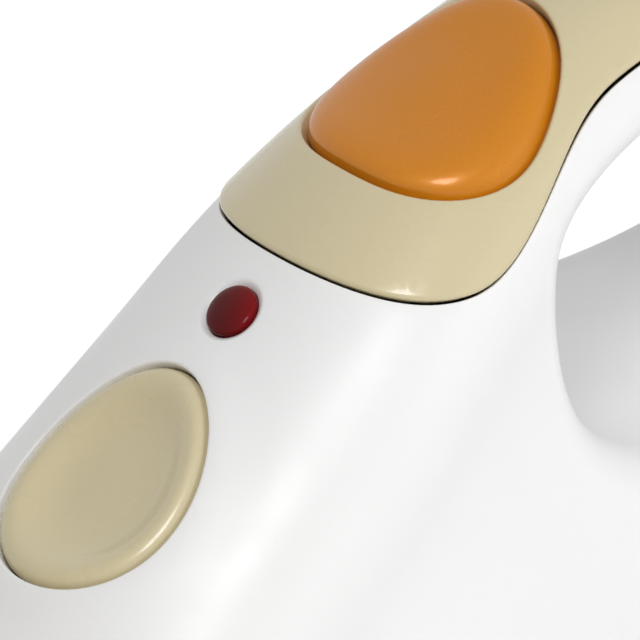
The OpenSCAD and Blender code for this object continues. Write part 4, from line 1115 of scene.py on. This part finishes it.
class SteamerColours(bpy.types.PropertyGroup):
    """Colours of the finishes that a user would change"""
    housing: FloatVectorProperty(name="Housing", description="Colour of the white moulding", subtype="COLOR",
                                 size=3, min=0, max=1, default=level((243, 243, 243)))
    cream: FloatVectorProperty(name="Cream", description="Colour of the handle cover and release button",
                               subtype="COLOR", size=3, min=0, max=1, default=level((211, 198, 160)))
    button: FloatVectorProperty(name="Button", description="Colour of the steam button", subtype="COLOR",
                                size=3, min=0, max=1, default=level((205, 126, 8)))
    lens: FloatVectorProperty(name="Lens", description="Colour of the indicator lens", subtype="COLOR",
                              size=3, min=0, max=1, default=level((100, 3, 6)))
    rubber: FloatVectorProperty(name="Rubber", description="Colour of feet, gasket and gland",
                                subtype="COLOR", size=3, min=0, max=1, default=level((36, 36, 38)))


class SteamerStage(bpy.types.PropertyGroup):
    """Camera and light"""
    azimuth: FloatProperty(name="Azimuth", description="Turn of the camera round the body", subtype="ANGLE",
                           unit="ROTATION", default=math.radians(-38.4))
    elevation: FloatProperty(name="Elevation", description="Height angle of the camera", subtype="ANGLE",
                             unit="ROTATION", default=math.radians(26.6))
    frame_width: FloatProperty(name="Frame width", description="Width of the view at the lamp",
                               subtype="DISTANCE", unit="LENGTH", default=0.1024, min=0.02)
    distance: FloatProperty(name="Distance", description="Distance of the camera from the lamp",
                            subtype="DISTANCE", unit="LENGTH", default=4.5, min=1.0)
    key: FloatProperty(name="Key light", description="Power of the large soft lamp", subtype="POWER",
                       unit="POWER", default=6.0, min=0.0)
    front: FloatProperty(name="Front light", description="Power of the lamp that draws the bright edges",
                         subtype="POWER", unit="POWER", default=5.2, min=0.0)
    top: FloatProperty(name="Top light", description="Power of the soft lamp over the nose", subtype="POWER",
                       unit="POWER", default=1.2, min=0.0)
    sky: FloatProperty(name="Surroundings", description="Strength of the light from all round",
                       default=0.3, min=0.0, max=2.0)


# ------------------------------------------------------------------------- pieces
ARCH_V = np.concatenate([np.linspace(0, 13, 11), 16.5 + 3.5 * np.arange(21)]) / 90
SECTION_V = np.concatenate([ARCH_V, [1.0], 1 + np.linspace(0, 1, 27)[1:], 2 + np.linspace(0, 1, 21)[1:]])
BODY_U = np.arange(-NOSE_RINGS, len(STATIONS)).astype(float)

# The near and far side, and the corners of a rectangle with the angle at which each arc starts.
SIDES = (-1, 1)
CORNERS = ((1, 1, 0), (-1, 1, 90), (-1, -1, 180), (1, -1, 270))


def corner_arcs(half_long, half_wide, radius, steps):
    """The four rounded corners of a rectangle, as rows of points about its middle."""
    a, b = half_long - radius, half_wide - radius
    return [[(sx * a + radius * math.cos(q), sy * b + radius * math.sin(q))
             for q in np.radians(np.linspace(start, start + 90, steps))] for sx, sy, start in CORNERS]


def pairs_at(stations, inset):
    """Places on both sides of the base, in from its edge."""
    return [(x, s * (float(belly_half(x)) - inset)) for x in stations for s in SIDES]


POSTS = pairs_at((NOSE_X + 56, NOSE_X + 132, TAIL_X - 52), 15)
FEET = pairs_at((NOSE_X + 38, TAIL_X - 34), 16)
POST_R = 4.0


def block(x0, x1, y0, y1, z0, z1, edge=0.5):
    """Moulded block with rounded upright edges and softened top and bottom."""
    cx, cy = (x0 + x1) / 2, (y0 + y1) / 2
    a, b = (x1 - x0) / 2, (y1 - y0) / 2
    soft = edge * 0.7

    def ring(inset, z):
        arcs = corner_arcs(a - inset, b - inset, max(0.05, edge - inset), 4)
        return np.array([(cx + x, cy + y, z) for arc in arcs for x, y in arc])

    def middle(z):
        return np.tile([cx, cy, z], (16, 1))

    return ring_solid([middle(z0), ring(soft, z0), ring(0, z0 + soft), ring(0, z1 - soft), ring(soft, z1),
                       middle(z1)])


class STEAMER_OT_housing(bpy.types.Operator):
    """White housing with its tunnel, wells, countersink and openings"""
    bl_idname = "steamer.housing"
    bl_label = "Housing"

    def execute(self, context):
        sizes = context.scene.steamer_sizes
        well = RELEASE_GAP + sizes.well_edge

        def outside_well(p):
            return outside_release(p, well)

        skin = Sheet(BODY_U, SECTION_V, skin_point)
        skin.cut(lambda p: p[:, 2] - (PAN_Z + sizes.seam_edge))
        skin.cut(lambda p: -inside_cover(p, -sizes.seam_edge))
        for field in (outside_opening, outside_well, outside_lamp, outside_filler, outside_gland):
            skin.cut(field)
        points, faces = mirrored(*add_tunnel(skin.points, skin.faces))
        tail = next(r for r in rims(faces) if points[r][:, 0].min() > TAIL_X - 0.01)
        points, faces = cap_flat(points, faces, tail)
        away = np.maximum(0, outside_well(points))
        lip = sizes.lip_rise * np.exp(-(away / sizes.lip_spread) ** 2)
        points = points + normals_of(points, faces) * lip[:, None]
        countersink = [(0.25, 0.05), (0.6, 0.3), (1.2, 0.85), (1.4, 1.05), (1.45, 1.4), (1.45, 5)]
        shell = thick_shell(points, faces, edge=sizes.seam_edge, special=(
            (outside_well, rolled(sizes.well_edge, 8.0)), (outside_lamp, countersink)))
        bore, foot, top = 1.6, PAN_Z + 0.2, PAN_Z + 14
        tube = rounded_profile([(bore, top - 0.5), (bore, foot), (POST_R, foot), (POST_R, top), (bore, top)],
                               [0, 0.3, 0.4, 0.4]) + [(bore, top - 0.5)]
        posts = [lathe(upright(x, 0), tube, 32, y) for x, y in POSTS]
        piece("housing", *joined(shell, *posts), "housing_white", replaces=["main_housing"])
        return {"FINISHED"}


class STEAMER_OT_cover(bpy.types.Operator):
    """Cream cover over the handle, with the well of the steam button"""
    bl_idname = "steamer.cover"
    bl_label = "Handle cover"

    def execute(self, context):
        sizes = context.scene.steamer_sizes
        well = BUTTON_GAP + sizes.well_edge

        def outside_well(p):
            return outside_button(p, well)

        covered = np.where((STATIONS > 3) & (STATIONS < 137))[0]
        skin = Sheet(BODY_U[covered + NOSE_RINGS], SECTION_V[SECTION_V < 1.7], skin_point)
        skin.cut(lambda p: inside_cover(p, sizes.seam_gap + sizes.cover_edge))
        skin.cut(outside_well)
        points, faces = mirrored(skin.points, skin.faces)
        points = points + normals_of(points, faces) * sizes.cover_rise
        shell = thick_shell(points, faces, edge=sizes.cover_edge, special=(
            (outside_well, rolled(sizes.well_edge, 9.0)),))
        piece("cover", *shell, "cream", replaces=["handle_cover"])
        return {"FINISHED"}


class STEAMER_OT_base(bpy.types.Operator):
    """Base pan with screw wells, plinths and tank rests"""
    bl_idname = "steamer.base"
    bl_label = "Base pan"

    def execute(self, context):
        sizes = context.scene.steamer_sizes
        skin = Sheet(BODY_U[NOSE_RINGS:], 2 + np.linspace(0, 1, 40), skin_point)
        skin.cut(lambda p: PAN_Z - 0.4 - sizes.seam_edge - p[:, 2])

        def outside_posts(p):
            away = np.min([np.hypot(p[:, 0] - x, p[:, 1] - y) for x, y in POSTS], axis=0)
            return np.where(p[:, 2] < UNDER_Z + 8, away - (POST_R - 0.1), FAR)

        skin.cut(outside_posts)
        points, faces = mirrored(skin.points, skin.faces)
        shell = thick_shell(points, faces, edge=sizes.seam_edge, special=((outside_posts, rolled(0.7, 7.8)),))
        low, top, tank_foot = UNDER_Z + 1, UNDER_Z + 5.4, -98.0
        # Under the boiler's two brackets, the pump and the terminal block: ends and half width.
        plinths = [(-23.5, -19.5, 23), (8.5, 12.5, 23), (76.2, 94.2, 12), (141, 152, 14)]
        rests = [block(x0, x1, -half, half, low, top) for x0, x1, half in plinths]
        rests += [block(x, x + 2.6, s * 16.5 - 8, s * 16.5 + 8, low, tank_foot - 0.3)
                  for x in (51.2, 138.2) for s in SIDES]
        piece("base", *joined(shell, *rests), "housing_white", replaces=["base_pan"])
        return {"FINISHED"}


class STEAMER_OT_buttons(bpy.types.Operator):
    """Orange steam button and cream release button"""
    bl_idname = "steamer.buttons"
    bl_label = "Buttons"

    def execute(self, context):
        sizes = context.scene.steamer_sizes
        pad = pad_solid(BUTTON, button_outline, button_profile(
            sizes.button_rise, sizes.button_dish, rim=0.86, edge=0.975, drop=1.7, steep=1.9))
        points, faces = button_stem(BUTTON, 3, -6.3, 0.4)
        over_switch = off_plane((0, 0, BUTTON[2]), np.array([4.0]), np.zeros(1), np.zeros(1))
        piece("thumb_button", *joined(pad, (points + over_switch, faces)), "orange", "button",
              ["steam_button"], sharp=50)
        pad = pad_solid(RELEASE, release_outline, button_profile(
            0.8, sizes.release_dish, rim=0.88, edge=0.985, drop=1.5, steep=2.4))
        piece("release_pad", *joined(pad, button_stem(RELEASE, 4, -12.4, 0.6)), "cream", "release",
              ["release_button"], sharp=50)
        return {"FINISHED"}


class STEAMER_OT_lamp(bpy.types.Operator):
    """Indicator lens, domed, with a rounded edge and a hollow for its lamp"""
    bl_idname = "steamer.lamp"
    bl_label = "Indicator lamp"

    def execute(self, context):
        radius, rise, seat, depth = 4.6, 0.9, -0.25, -6
        profile = [(radius * math.sin(q), seat + (rise - seat) * math.cos(q) ** 0.9)
                   for q in np.linspace(0, math.pi / 2, 26)]
        profile += [(radius, -0.8), (radius, depth + 0.4), (radius - 0.4, depth)]
        profile += [(2.9, depth), (2.9, -1.9), (2.6, -1.6), (0, -1.6)]
        piece("lens", *lathe(LAMP, profile, 96), "lens_red", replaces=["indicator_lens"], sharp=50)
        return {"FINISHED"}


PLATE_W, PLATE_H = 190.0, 96.0
PLATE_CORNER = 14
HOOD_X = NOSE_X - 22
RIM_X = HOOD_X - 24
PLATE_SCREWS = [(y * (PLATE_W / 2 - 16), t * (PLATE_H / 2 - 13)) for y in (-1, 0, 1) for t in SIDES]


def plate_ring(x, w, h, corner):
    """Rounded rectangle across the body at a station."""
    arcs = [[(x, y, OUTLET_Z + z) for y, z in arc] for arc in corner_arcs(w / 2, h / 2, corner, 13)]
    out = []
    for arc, following in zip(arcs, arcs[1:] + arcs[:1]):
        a, b = np.array(arc[-1]), np.array(following[0])
        out += arc + [tuple(mix(a, b, t)) for t in np.linspace(0, 1, 16)[1:-1]]
    return np.array(out)


def perforated_tree():
    """Flat sheet with rounded corners, staggered holes and holes at the given points."""
    tree, given, target = new_tree(
        "Perforated sheet", ("Width", "Float"), ("Height", "Float"), ("Corner", "Float"),
        ("Thickness", "Float"), ("Pitch", "Float"), ("Hole radius", "Float"), ("Screw hole radius", "Float"),
        ("Columns", "Int"), ("Rows", "Int"), ("Place", "Vector"), ("Material", "Material"))
    cols = math_node(tree, "SUBTRACT", given["Columns"], 1.0)
    rows = math_node(tree, "SUBTRACT", given["Rows"], 1.0)
    grid = add_node(tree, "GeometryNodeMeshGrid", math_node(tree, "MULTIPLY", cols, given["Pitch"]),
                    math_node(tree, "MULTIPLY", rows, given["Pitch"]), given["Columns"], given["Rows"])
    spot = add_node(tree, "ShaderNodeSeparateXYZ", tree.nodes.new("GeometryNodeInputPosition").outputs[0])
    column, row = (math_node(tree, "ROUND", math_node(tree, "DIVIDE", spot.outputs[k], given["Pitch"]))
                   for k in (0, 1))
    odd = math_node(tree, "FLOORED_MODULO", math_node(tree, "ADD", column, row), 2.0)
    kept = add_node(tree, "GeometryNodeDeleteGeometry", grid.outputs[0],
                    math_node(tree, "GREATER_THAN", odd, 0.5), domain="POINT")

    def holes(points, radius):
        ring = add_node(tree, "GeometryNodeCurvePrimitiveCircle")
        next(s for s in ring.inputs if s.name == "Resolution").default_value = 24
        tree.links.new(radius, next(s for s in ring.inputs if s.name == "Radius" and s.enabled))
        put = add_node(tree, "GeometryNodeInstanceOnPoints")
        at = add_node(tree, "GeometryNodeMeshToPoints", points).outputs[0]
        tree.links.new(at, put.inputs["Points"])
        tree.links.new(ring.outputs[0], put.inputs["Instance"])
        return add_node(tree, "GeometryNodeRealizeInstances", put.outputs[0]).outputs[0]

    border = add_node(tree, "GeometryNodeCurvePrimitiveQuadrilateral", given["Width"], given["Height"])
    corner = add_node(tree, "GeometryNodeFilletCurve", mode="POLY")
    tree.links.new(border.outputs[0], corner.inputs["Curve"])
    tree.links.new(given["Corner"], corner.inputs["Radius"])
    corner.inputs["Count"].default_value = 8
    lines = tree.nodes.new("GeometryNodeJoinGeometry")
    for made in (corner.outputs[0], holes(kept.outputs[0], given["Hole radius"]),
                 holes(given["Geometry"], given["Screw hole radius"])):
        tree.links.new(made, lines.inputs[0])
    sheet = add_node(tree, "GeometryNodeFillCurve", lines.outputs[0], mode="TRIANGLES")
    raised = add_node(tree, "GeometryNodeExtrudeMesh", mode="FACES")
    tree.links.new(sheet.outputs[0], raised.inputs["Mesh"])
    tree.links.new(given["Thickness"], raised.inputs["Offset Scale"])
    raised.inputs["Individual"].default_value = False
    back = add_node(tree, "GeometryNodeFlipFaces", sheet.outputs[0])
    both = tree.nodes.new("GeometryNodeJoinGeometry")
    tree.links.new(raised.outputs["Mesh"], both.inputs[0])
    tree.links.new(back.outputs[0], both.inputs[0])
    whole = add_node(tree, "GeometryNodeMergeByDistance", both.outputs[0])
    whole.inputs["Distance"].default_value = 1e-6
    placed = add_node(tree, "GeometryNodeTransform")
    tree.links.new(whole.outputs[0], placed.inputs["Geometry"])
    tree.links.new(given["Place"], placed.inputs["Translation"])
    placed.inputs["Rotation"].default_value = (math.pi / 2, 0, math.pi / 2)
    end_tree(tree, placed.outputs[0], given["Material"], target)
    return tree


class STEAMER_OT_plate(bpy.types.Operator):
    """Steam plate: hood, perforated diffuser and rubber gasket"""
    bl_idname = "steamer.plate"
    bl_label = "Steam plate"

    def execute(self, context):
        sizes = context.scene.steamer_sizes
        stations = np.array([0.5, 2, 4, 6, 7, 8, 9.5, 12, 15, 17.5, 19, 20, 21, 22, 23, 23.6, 24])
        wide = np.interp(stations, [0.5, 7, 20, 24], [1, 1, 0.82, 0.56])
        tall = np.interp(stations, [0.5, 7, 20, 24], [1, 1, 0.66, 0.5])
        for values in (wide, tall):
            for _ in range(2):
                values[1:-1] = (values[:-2] + 2 * values[1:-1] + values[2:]) / 4
        rings = [plate_ring(RIM_X + s, PLATE_W * a, PLATE_H * b, PLATE_CORNER)
                 for s, a, b in zip(stations, wide, tall)]
        last = rings[-1]
        middle = np.array([HOOD_X, 0, OUTLET_Z])
        rings += [np.column_stack([np.full(len(last), HOOD_X), mix(last, middle, t)[:, 1:]])
                  for t in (0.03, 0.2, 0.5, 1.0)]
        points, faces = weld(*ring_faces(rings))
        if normals_of(points, faces)[points[:, 2].argmax(), 2] < 0:
            faces = [tuple(reversed(f)) for f in faces]
        piece("hood", *thick_shell(points, faces, edge=0.5), "cream", "plate", ["plate_hood"], sharp=40)

        mesh = bpy.data.meshes.new("diffuser_points")
        mesh.from_pydata([(y * MM, z * MM, 0) for y, z in PLATE_SCREWS], [], [])
        sheet = new_object("diffuser_sheet", mesh)
        columns = 2 * int((PLATE_W - 40) / 2 / sizes.hole_pitch) + 1
        rows = 2 * int((PLATE_H - 34) / 2 / sizes.hole_pitch) + 1
        baked(sheet, perforated_tree(), {
            "Width": (PLATE_W - 5) * MM, "Height": (PLATE_H - 5) * MM, "Corner": 11.5 * MM,
            "Thickness": 1.5 * MM, "Pitch": sizes.hole_pitch * MM, "Hole radius": sizes.hole_radius * MM,
            "Screw hole radius": 1.6 * MM, "Columns": columns, "Rows": rows,
            "Place": tuple(world([[RIM_X, 0, OUTLET_Z]])[0]), "Material": finish("plate_aluminium")})
        settle(sheet, "plate", "plate_aluminium", ["diffuser"])

        lip = rounded_profile([(0, 6), (0, 0.8), (1.6, 0), (2.5, 0.9), (3.4, 0), (5, 0.8), (5, 6), (0, 6)],
                              [0, 0.8, 0.8, 0.8, 0.8, 0.8, 0.3], 4)[:-1]
        rings = [plate_ring(RIM_X - 6 + d, PLATE_W - 2 * inset, PLATE_H - 2 * inset, PLATE_CORNER - inset)
                 for inset, d in lip]
        piece("gasket", *ring_solid(rings, closed=True), "rubber", "plate", ["plate_gasket"], sharp=50)
        return {"FINISHED"}


def rib_tree():
    """Upright ribs set round a turned body, joined to it."""
    tree, given, target = new_tree("Grip ribs", ("Ribs", "Int"), ("Ring radius", "Float"),
                                   ("Rib radius", "Float"), ("Rib height", "Float"), ("Material", "Material"))
    ring = add_node(tree, "GeometryNodeMeshCircle", given["Ribs"], given["Ring radius"])
    ball = add_node(tree, "GeometryNodeMeshUVSphere", 12, 10, given["Rib radius"])
    half = math_node(tree, "DIVIDE", given["Rib height"], 2.0)
    stretch = add_node(tree, "ShaderNodeCombineXYZ", 1.0, 1.0,
                       math_node(tree, "DIVIDE", half, given["Rib radius"]))
    lift = add_node(tree, "ShaderNodeCombineXYZ", 0.0, 0.0, half)
    rib = add_node(tree, "GeometryNodeTransform")
    tree.links.new(ball.outputs[0], rib.inputs["Geometry"])
    tree.links.new(stretch.outputs[0], rib.inputs["Scale"])
    tree.links.new(lift.outputs[0], rib.inputs["Translation"])
    smooth = add_node(tree, "GeometryNodeSetShadeSmooth", rib.outputs[0])
    put = add_node(tree, "GeometryNodeInstanceOnPoints")
    at = add_node(tree, "GeometryNodeMeshToPoints", ring.outputs[0]).outputs[0]
    tree.links.new(at, put.inputs["Points"])
    tree.links.new(smooth.outputs[0], put.inputs["Instance"])
    both = tree.nodes.new("GeometryNodeJoinGeometry")
    tree.links.new(given["Geometry"], both.inputs[0])
    tree.links.new(put.outputs[0], both.inputs[0])
    end_tree(tree, both.outputs[0], given["Material"], target)
    return tree


class STEAMER_OT_filler(bpy.types.Operator):
    """Filler cap with grip ribs, a dished top and a grooved plug"""
    bl_idname = "steamer.filler"
    bl_label = "Filler cap"

    def execute(self, context):
        sizes = context.scene.steamer_sizes
        lift = 5.3
        cap_r, plug_r, groove_r, bore = 13, 10.1, 8.5, 7.4
        profile = rounded_profile(
            [(0, 10.2), (8.8, 10.2), (10, 11), (12.4, 11), (cap_r, 9.4), (cap_r, 0.6), (12.4, 0), (plug_r, 0),
             (plug_r, -1.9), (groove_r, -1.9), (groove_r, -4.1), (plug_r, -4.1), (plug_r, -7), (bore, -7),
             (bore, 9.1), (0, 9.1)],
            [0, 1.0, 1.0, 1.2, 0.8, 0.5, 0.4, 0.2, 0.1, 0.1, 0.1, 0.1, 0.5, 0.4, 0.4])
        points, faces = lathe(ORIGIN, profile, 72)
        cap = new_object("filler_lid", new_mesh("filler_lid", points * MM, faces, 50))
        baked(cap, rib_tree(), {
            "Ribs": sizes.rib_count, "Ring radius": (cap_r - 0.25) * MM, "Rib radius": 1.0 * MM,
            "Rib height": 9.4 * MM, "Material": finish("cream")})
        seat = world(off_plane(FILLER, np.zeros(1), np.zeros(1), np.array([lift])))[0]
        cap.data.transform(Matrix.Translation(Vector(seat)) @ Matrix.Rotation(FILLER_LEAN, 4, "Y"))
        settle(cap, "cap", "cream", ["filler_cap"])
        return {"FINISHED"}


class STEAMER_OT_fittings(bpy.types.Operator):
    """Screws, rubber feet and the cord gland"""
    bl_idname = "steamer.fittings"
    bl_label = "Screws, feet and gland"

    def execute(self, context):
        def circle(radius, angles):
            return [(radius * math.cos(q), OUTLET_Z + radius * math.sin(q)) for q in np.radians(angles)]

        fittings("plate_neck_screws", screw_shape(1.5, 7, 2.8, 1.8, 1.6),
                 [((HOOD_X + 3, y, z), (1, 0, 0)) for y, z in circle(16.6, (30, 150, 270))],
                 "zinc", "plate", ["neck_screws"])
        fittings("plate_face_screws", screw_shape(1.5, 8, 2.8, 1.6, 1.6),
                 [((RIM_X, y, OUTLET_Z + z), (-1, 0, 0)) for y, z in PLATE_SCREWS],
                 "zinc", "plate", ["diffuser_screws"])
        fittings("lid_screws", screw_shape(1.5, 8.8, 2.6, 2.0, 1.5),
                 [((28.0, y, z), (1, 0, 0)) for y, z in circle(24.2, np.arange(6) * 60)],
                 "zinc", replaces=["boiler_screws"])
        fittings("small_screws", screw_shape(1.0, 6, 2.4, 1.4, 1.3),
                 [((35.6, s * 17.0, OPEN_MID - 8 + t * 12.0), (-1, 0, 0)) for s in SIDES for t in SIDES],
                 "zinc", replaces=["board_screws"])
        fittings("pan_screws", screw_shape(1.5, 16, 3.0, 2.0, 1.8),
                 [((x, y, PAN_Z - 6), (0, 0, -1)) for x, y in POSTS], "zinc", replaces=["base_screws"])
        foot = lathe(ORIGIN, rounded_profile(
            [(0, 0.5), (4.6, 0.5), (5.2, 0), (7.5, 0), (8, 1.2), (7.6, 5.2), (7.8, 6), (3, 6), (3, 8.5),
             (0, 8.5)],
            [0, 0.3, 0.4, 0.9, 0.8, 0.5, 0.3, 0.3, 0.8]), 48)
        fittings("feet", foot, [((x, y, FLOOR_Z), (0, 0, 1)) for x, y in FEET], "rubber",
                 replaces=["rubber_feet"], sharp=50)
        inner, neck, outer = 3.0, 6.5, 9.5
        profile = rounded_profile(
            [(inner, -16), (neck, -16), (neck, -2.5), (outer, -2.5), (outer, 0), (6.4, 0), (5.6, -1.2),
             (inner + 0.4, -1.2), (inner, -2), (inner, -16)],
            [0, 0.5, 0.2, 0.4, 1.0, 0.5, 0.4, 0.4, 0.3])
        q = np.linspace(0, 2 * math.pi, 64, endpoint=False)
        rings = [np.stack([np.full(64, TAIL_X + d), r * np.cos(q), GLAND_Z + r * np.sin(q)], axis=1)
                 for r, d in profile[:-1]]
        piece("gland", *ring_solid(rings, closed=True), "rubber", replaces=["cord_gland"], sharp=50)
        return {"FINISHED"}


class STEAMER_OT_inside(bpy.types.Operator):
    """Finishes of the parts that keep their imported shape"""
    bl_idname = "steamer.inside"
    bl_label = "Working parts"

    def execute(self, context):
        slots = {s["node"]: s["material_slot"] for s in frame["record"]["subparts"]}
        for name, obj in frame["nodes"].items():
            if obj.hide_render:
                continue
            if not obj.material_slots:
                obj.data.materials.append(None)
            for place in obj.material_slots:
                place.material = finish(slots[name])
        return {"FINISHED"}


# Middle of the view, in metres from the lamp as the camera sees it, and the width of its film in millimetres.
VIEW_RIGHT, VIEW_DOWN = 0.01432, 0.00168
FILM = 36


class STEAMER_OT_stage(bpy.types.Operator):
    """Pale floor, soft lamps, surroundings and the camera"""
    bl_idname = "steamer.stage"
    bl_label = "Stage"

    def floor(self):
        reach = 6
        mesh = bpy.data.meshes.new("floor")
        mesh.from_pydata([(sx * reach, sy * reach, 0) for sx, sy, _ in CORNERS], [], [(0, 1, 2, 3)])
        obj = new_object("floor", mesh)
        material, tree, shader, place = shader_of("steamer_floor")
        paint(tree, shader, ranged(tree, noise(tree, place, 3, 3)), (1, 1, 1), 0.84, 0.86)
        glow = math_node(tree, "MULTIPLY", self.seen(tree), 0.5)
        tree.links.new(glow, shader.inputs["Emission Strength"])
        set_inputs(shader, {"Roughness": 0.9, "Emission Color": (1, 1, 1, 1)})
        mesh.materials.append(material)

    def seen(self, tree):
        """1 for the rays that show the background: camera, mirror and glass rays."""
        path = tree.nodes.new("ShaderNodeLightPath").outputs
        either = math_node(tree, "MAXIMUM", path["Is Camera Ray"], path["Is Glossy Ray"])
        return math_node(tree, "MAXIMUM", either, path["Is Transmission Ray"])

    def lamp(self, name, place, target, size, power, mirrored=True):
        light = bpy.data.lights.new(name, "AREA")
        light.shape = "DISK"
        light.size = size
        light.energy = power
        obj = new_object(name, light)
        aim = (target - place).to_track_quat("-Z", "Y").to_matrix().to_4x4()
        obj.matrix_world = Matrix.Translation(place) @ aim
        obj.visible_glossy = mirrored

    def camera(self, place, axes, lens):
        camera = bpy.data.cameras.new("camera")
        camera.sensor_width = FILM
        camera.lens = lens
        camera.clip_start, camera.clip_end = 0.1, 100
        obj = new_object("camera", camera)
        obj.matrix_world = Matrix.Translation(place) @ Matrix(axes).transposed().to_4x4()
        bpy.context.scene.camera = obj

    def surroundings(self, strength):
        """Even light from all round, seen as white."""
        sky = bpy.data.worlds.new("surroundings")
        bpy.context.scene.world = sky
        sky.use_nodes = True
        tree = sky.node_tree
        ground = tree.nodes["Background"]
        set_inputs(ground, {"Color": (1, 1, 1, 1)})
        tree.links.new(ranged(tree, self.seen(tree), strength, 1.0, 0.0, 1.0), ground.inputs["Strength"])

    def execute(self, context):
        stage = context.scene.steamer_stage
        az, el = stage.azimuth, stage.elevation
        right = Vector((math.cos(az), math.sin(az), 0))
        back = Vector((math.sin(az) * math.cos(el), -math.cos(az) * math.cos(el), math.sin(el)))
        up = back.cross(right)
        middle = Vector(world([[0, 0, 0]])[0]) + right * VIEW_RIGHT - up * VIEW_DOWN
        self.floor()
        lens = FILM * stage.distance / stage.frame_width
        self.camera(middle + back * stage.distance, (right, up, back), lens)
        by_key = back * 0.75 + right * 0.95 + up * 0.15
        by_front = back * 1.12 - right * 0.14 + up * 0.42
        by_top = back * 0.15 - right * 0.55 + up * 1.05
        self.lamp("key", middle + by_key, middle, 0.9, stage.key, mirrored=False)
        self.lamp("front", middle + by_front, middle, 0.42, stage.front)
        self.lamp("top", middle + by_top, middle, 0.5, stage.top, mirrored=False)
        self.surroundings(stage.sky)
        context.scene.view_settings.view_transform = "Standard"
        return {"FINISHED"}


PIECES = (STEAMER_OT_housing, STEAMER_OT_cover, STEAMER_OT_base, STEAMER_OT_buttons, STEAMER_OT_lamp,
          STEAMER_OT_plate, STEAMER_OT_filler, STEAMER_OT_fittings, STEAMER_OT_inside, STEAMER_OT_stage)


class STEAMER_PT_panel(bpy.types.Panel):
    """Sizes, colours and the steps that make the steamer"""
    bl_idname = "STEAMER_PT_panel"
    bl_label = "Wallpaper steamer"
    bl_space_type = "VIEW_3D"
    bl_region_type = "UI"
    bl_category = "Steamer"

    def draw(self, context):
        for name in GROUPS:
            group = getattr(context.scene, name)
            box = self.layout.box()
            for key in group.bl_rna.properties.keys():
                if key not in ("rna_type", "name"):
                    box.prop(group, key)
        for made in PIECES:
            self.layout.operator(made.bl_idname)


GROUPS = {"steamer_sizes": SteamerSizes, "steamer_colours": SteamerColours, "steamer_stage": SteamerStage}
CLASSES = (*GROUPS.values(), *PIECES, STEAMER_PT_panel)


def register():
    for made in CLASSES:
        bpy.utils.register_class(made)
    for name, group in GROUPS.items():
        setattr(bpy.types.Scene, name, PointerProperty(type=group))


def unregister():
    for name in GROUPS:
        delattr(bpy.types.Scene, name)
    for made in reversed(CLASSES):
        bpy.utils.unregister_class(made)


def main():
    register()
    for made in PIECES:
        group, name = made.bl_idname.split(".")
        if getattr(getattr(bpy.ops, group), name)() != {"FINISHED"}:
            raise RuntimeError(f"{made.bl_idname} did not finish")


if __name__ == "__main__":
    main()
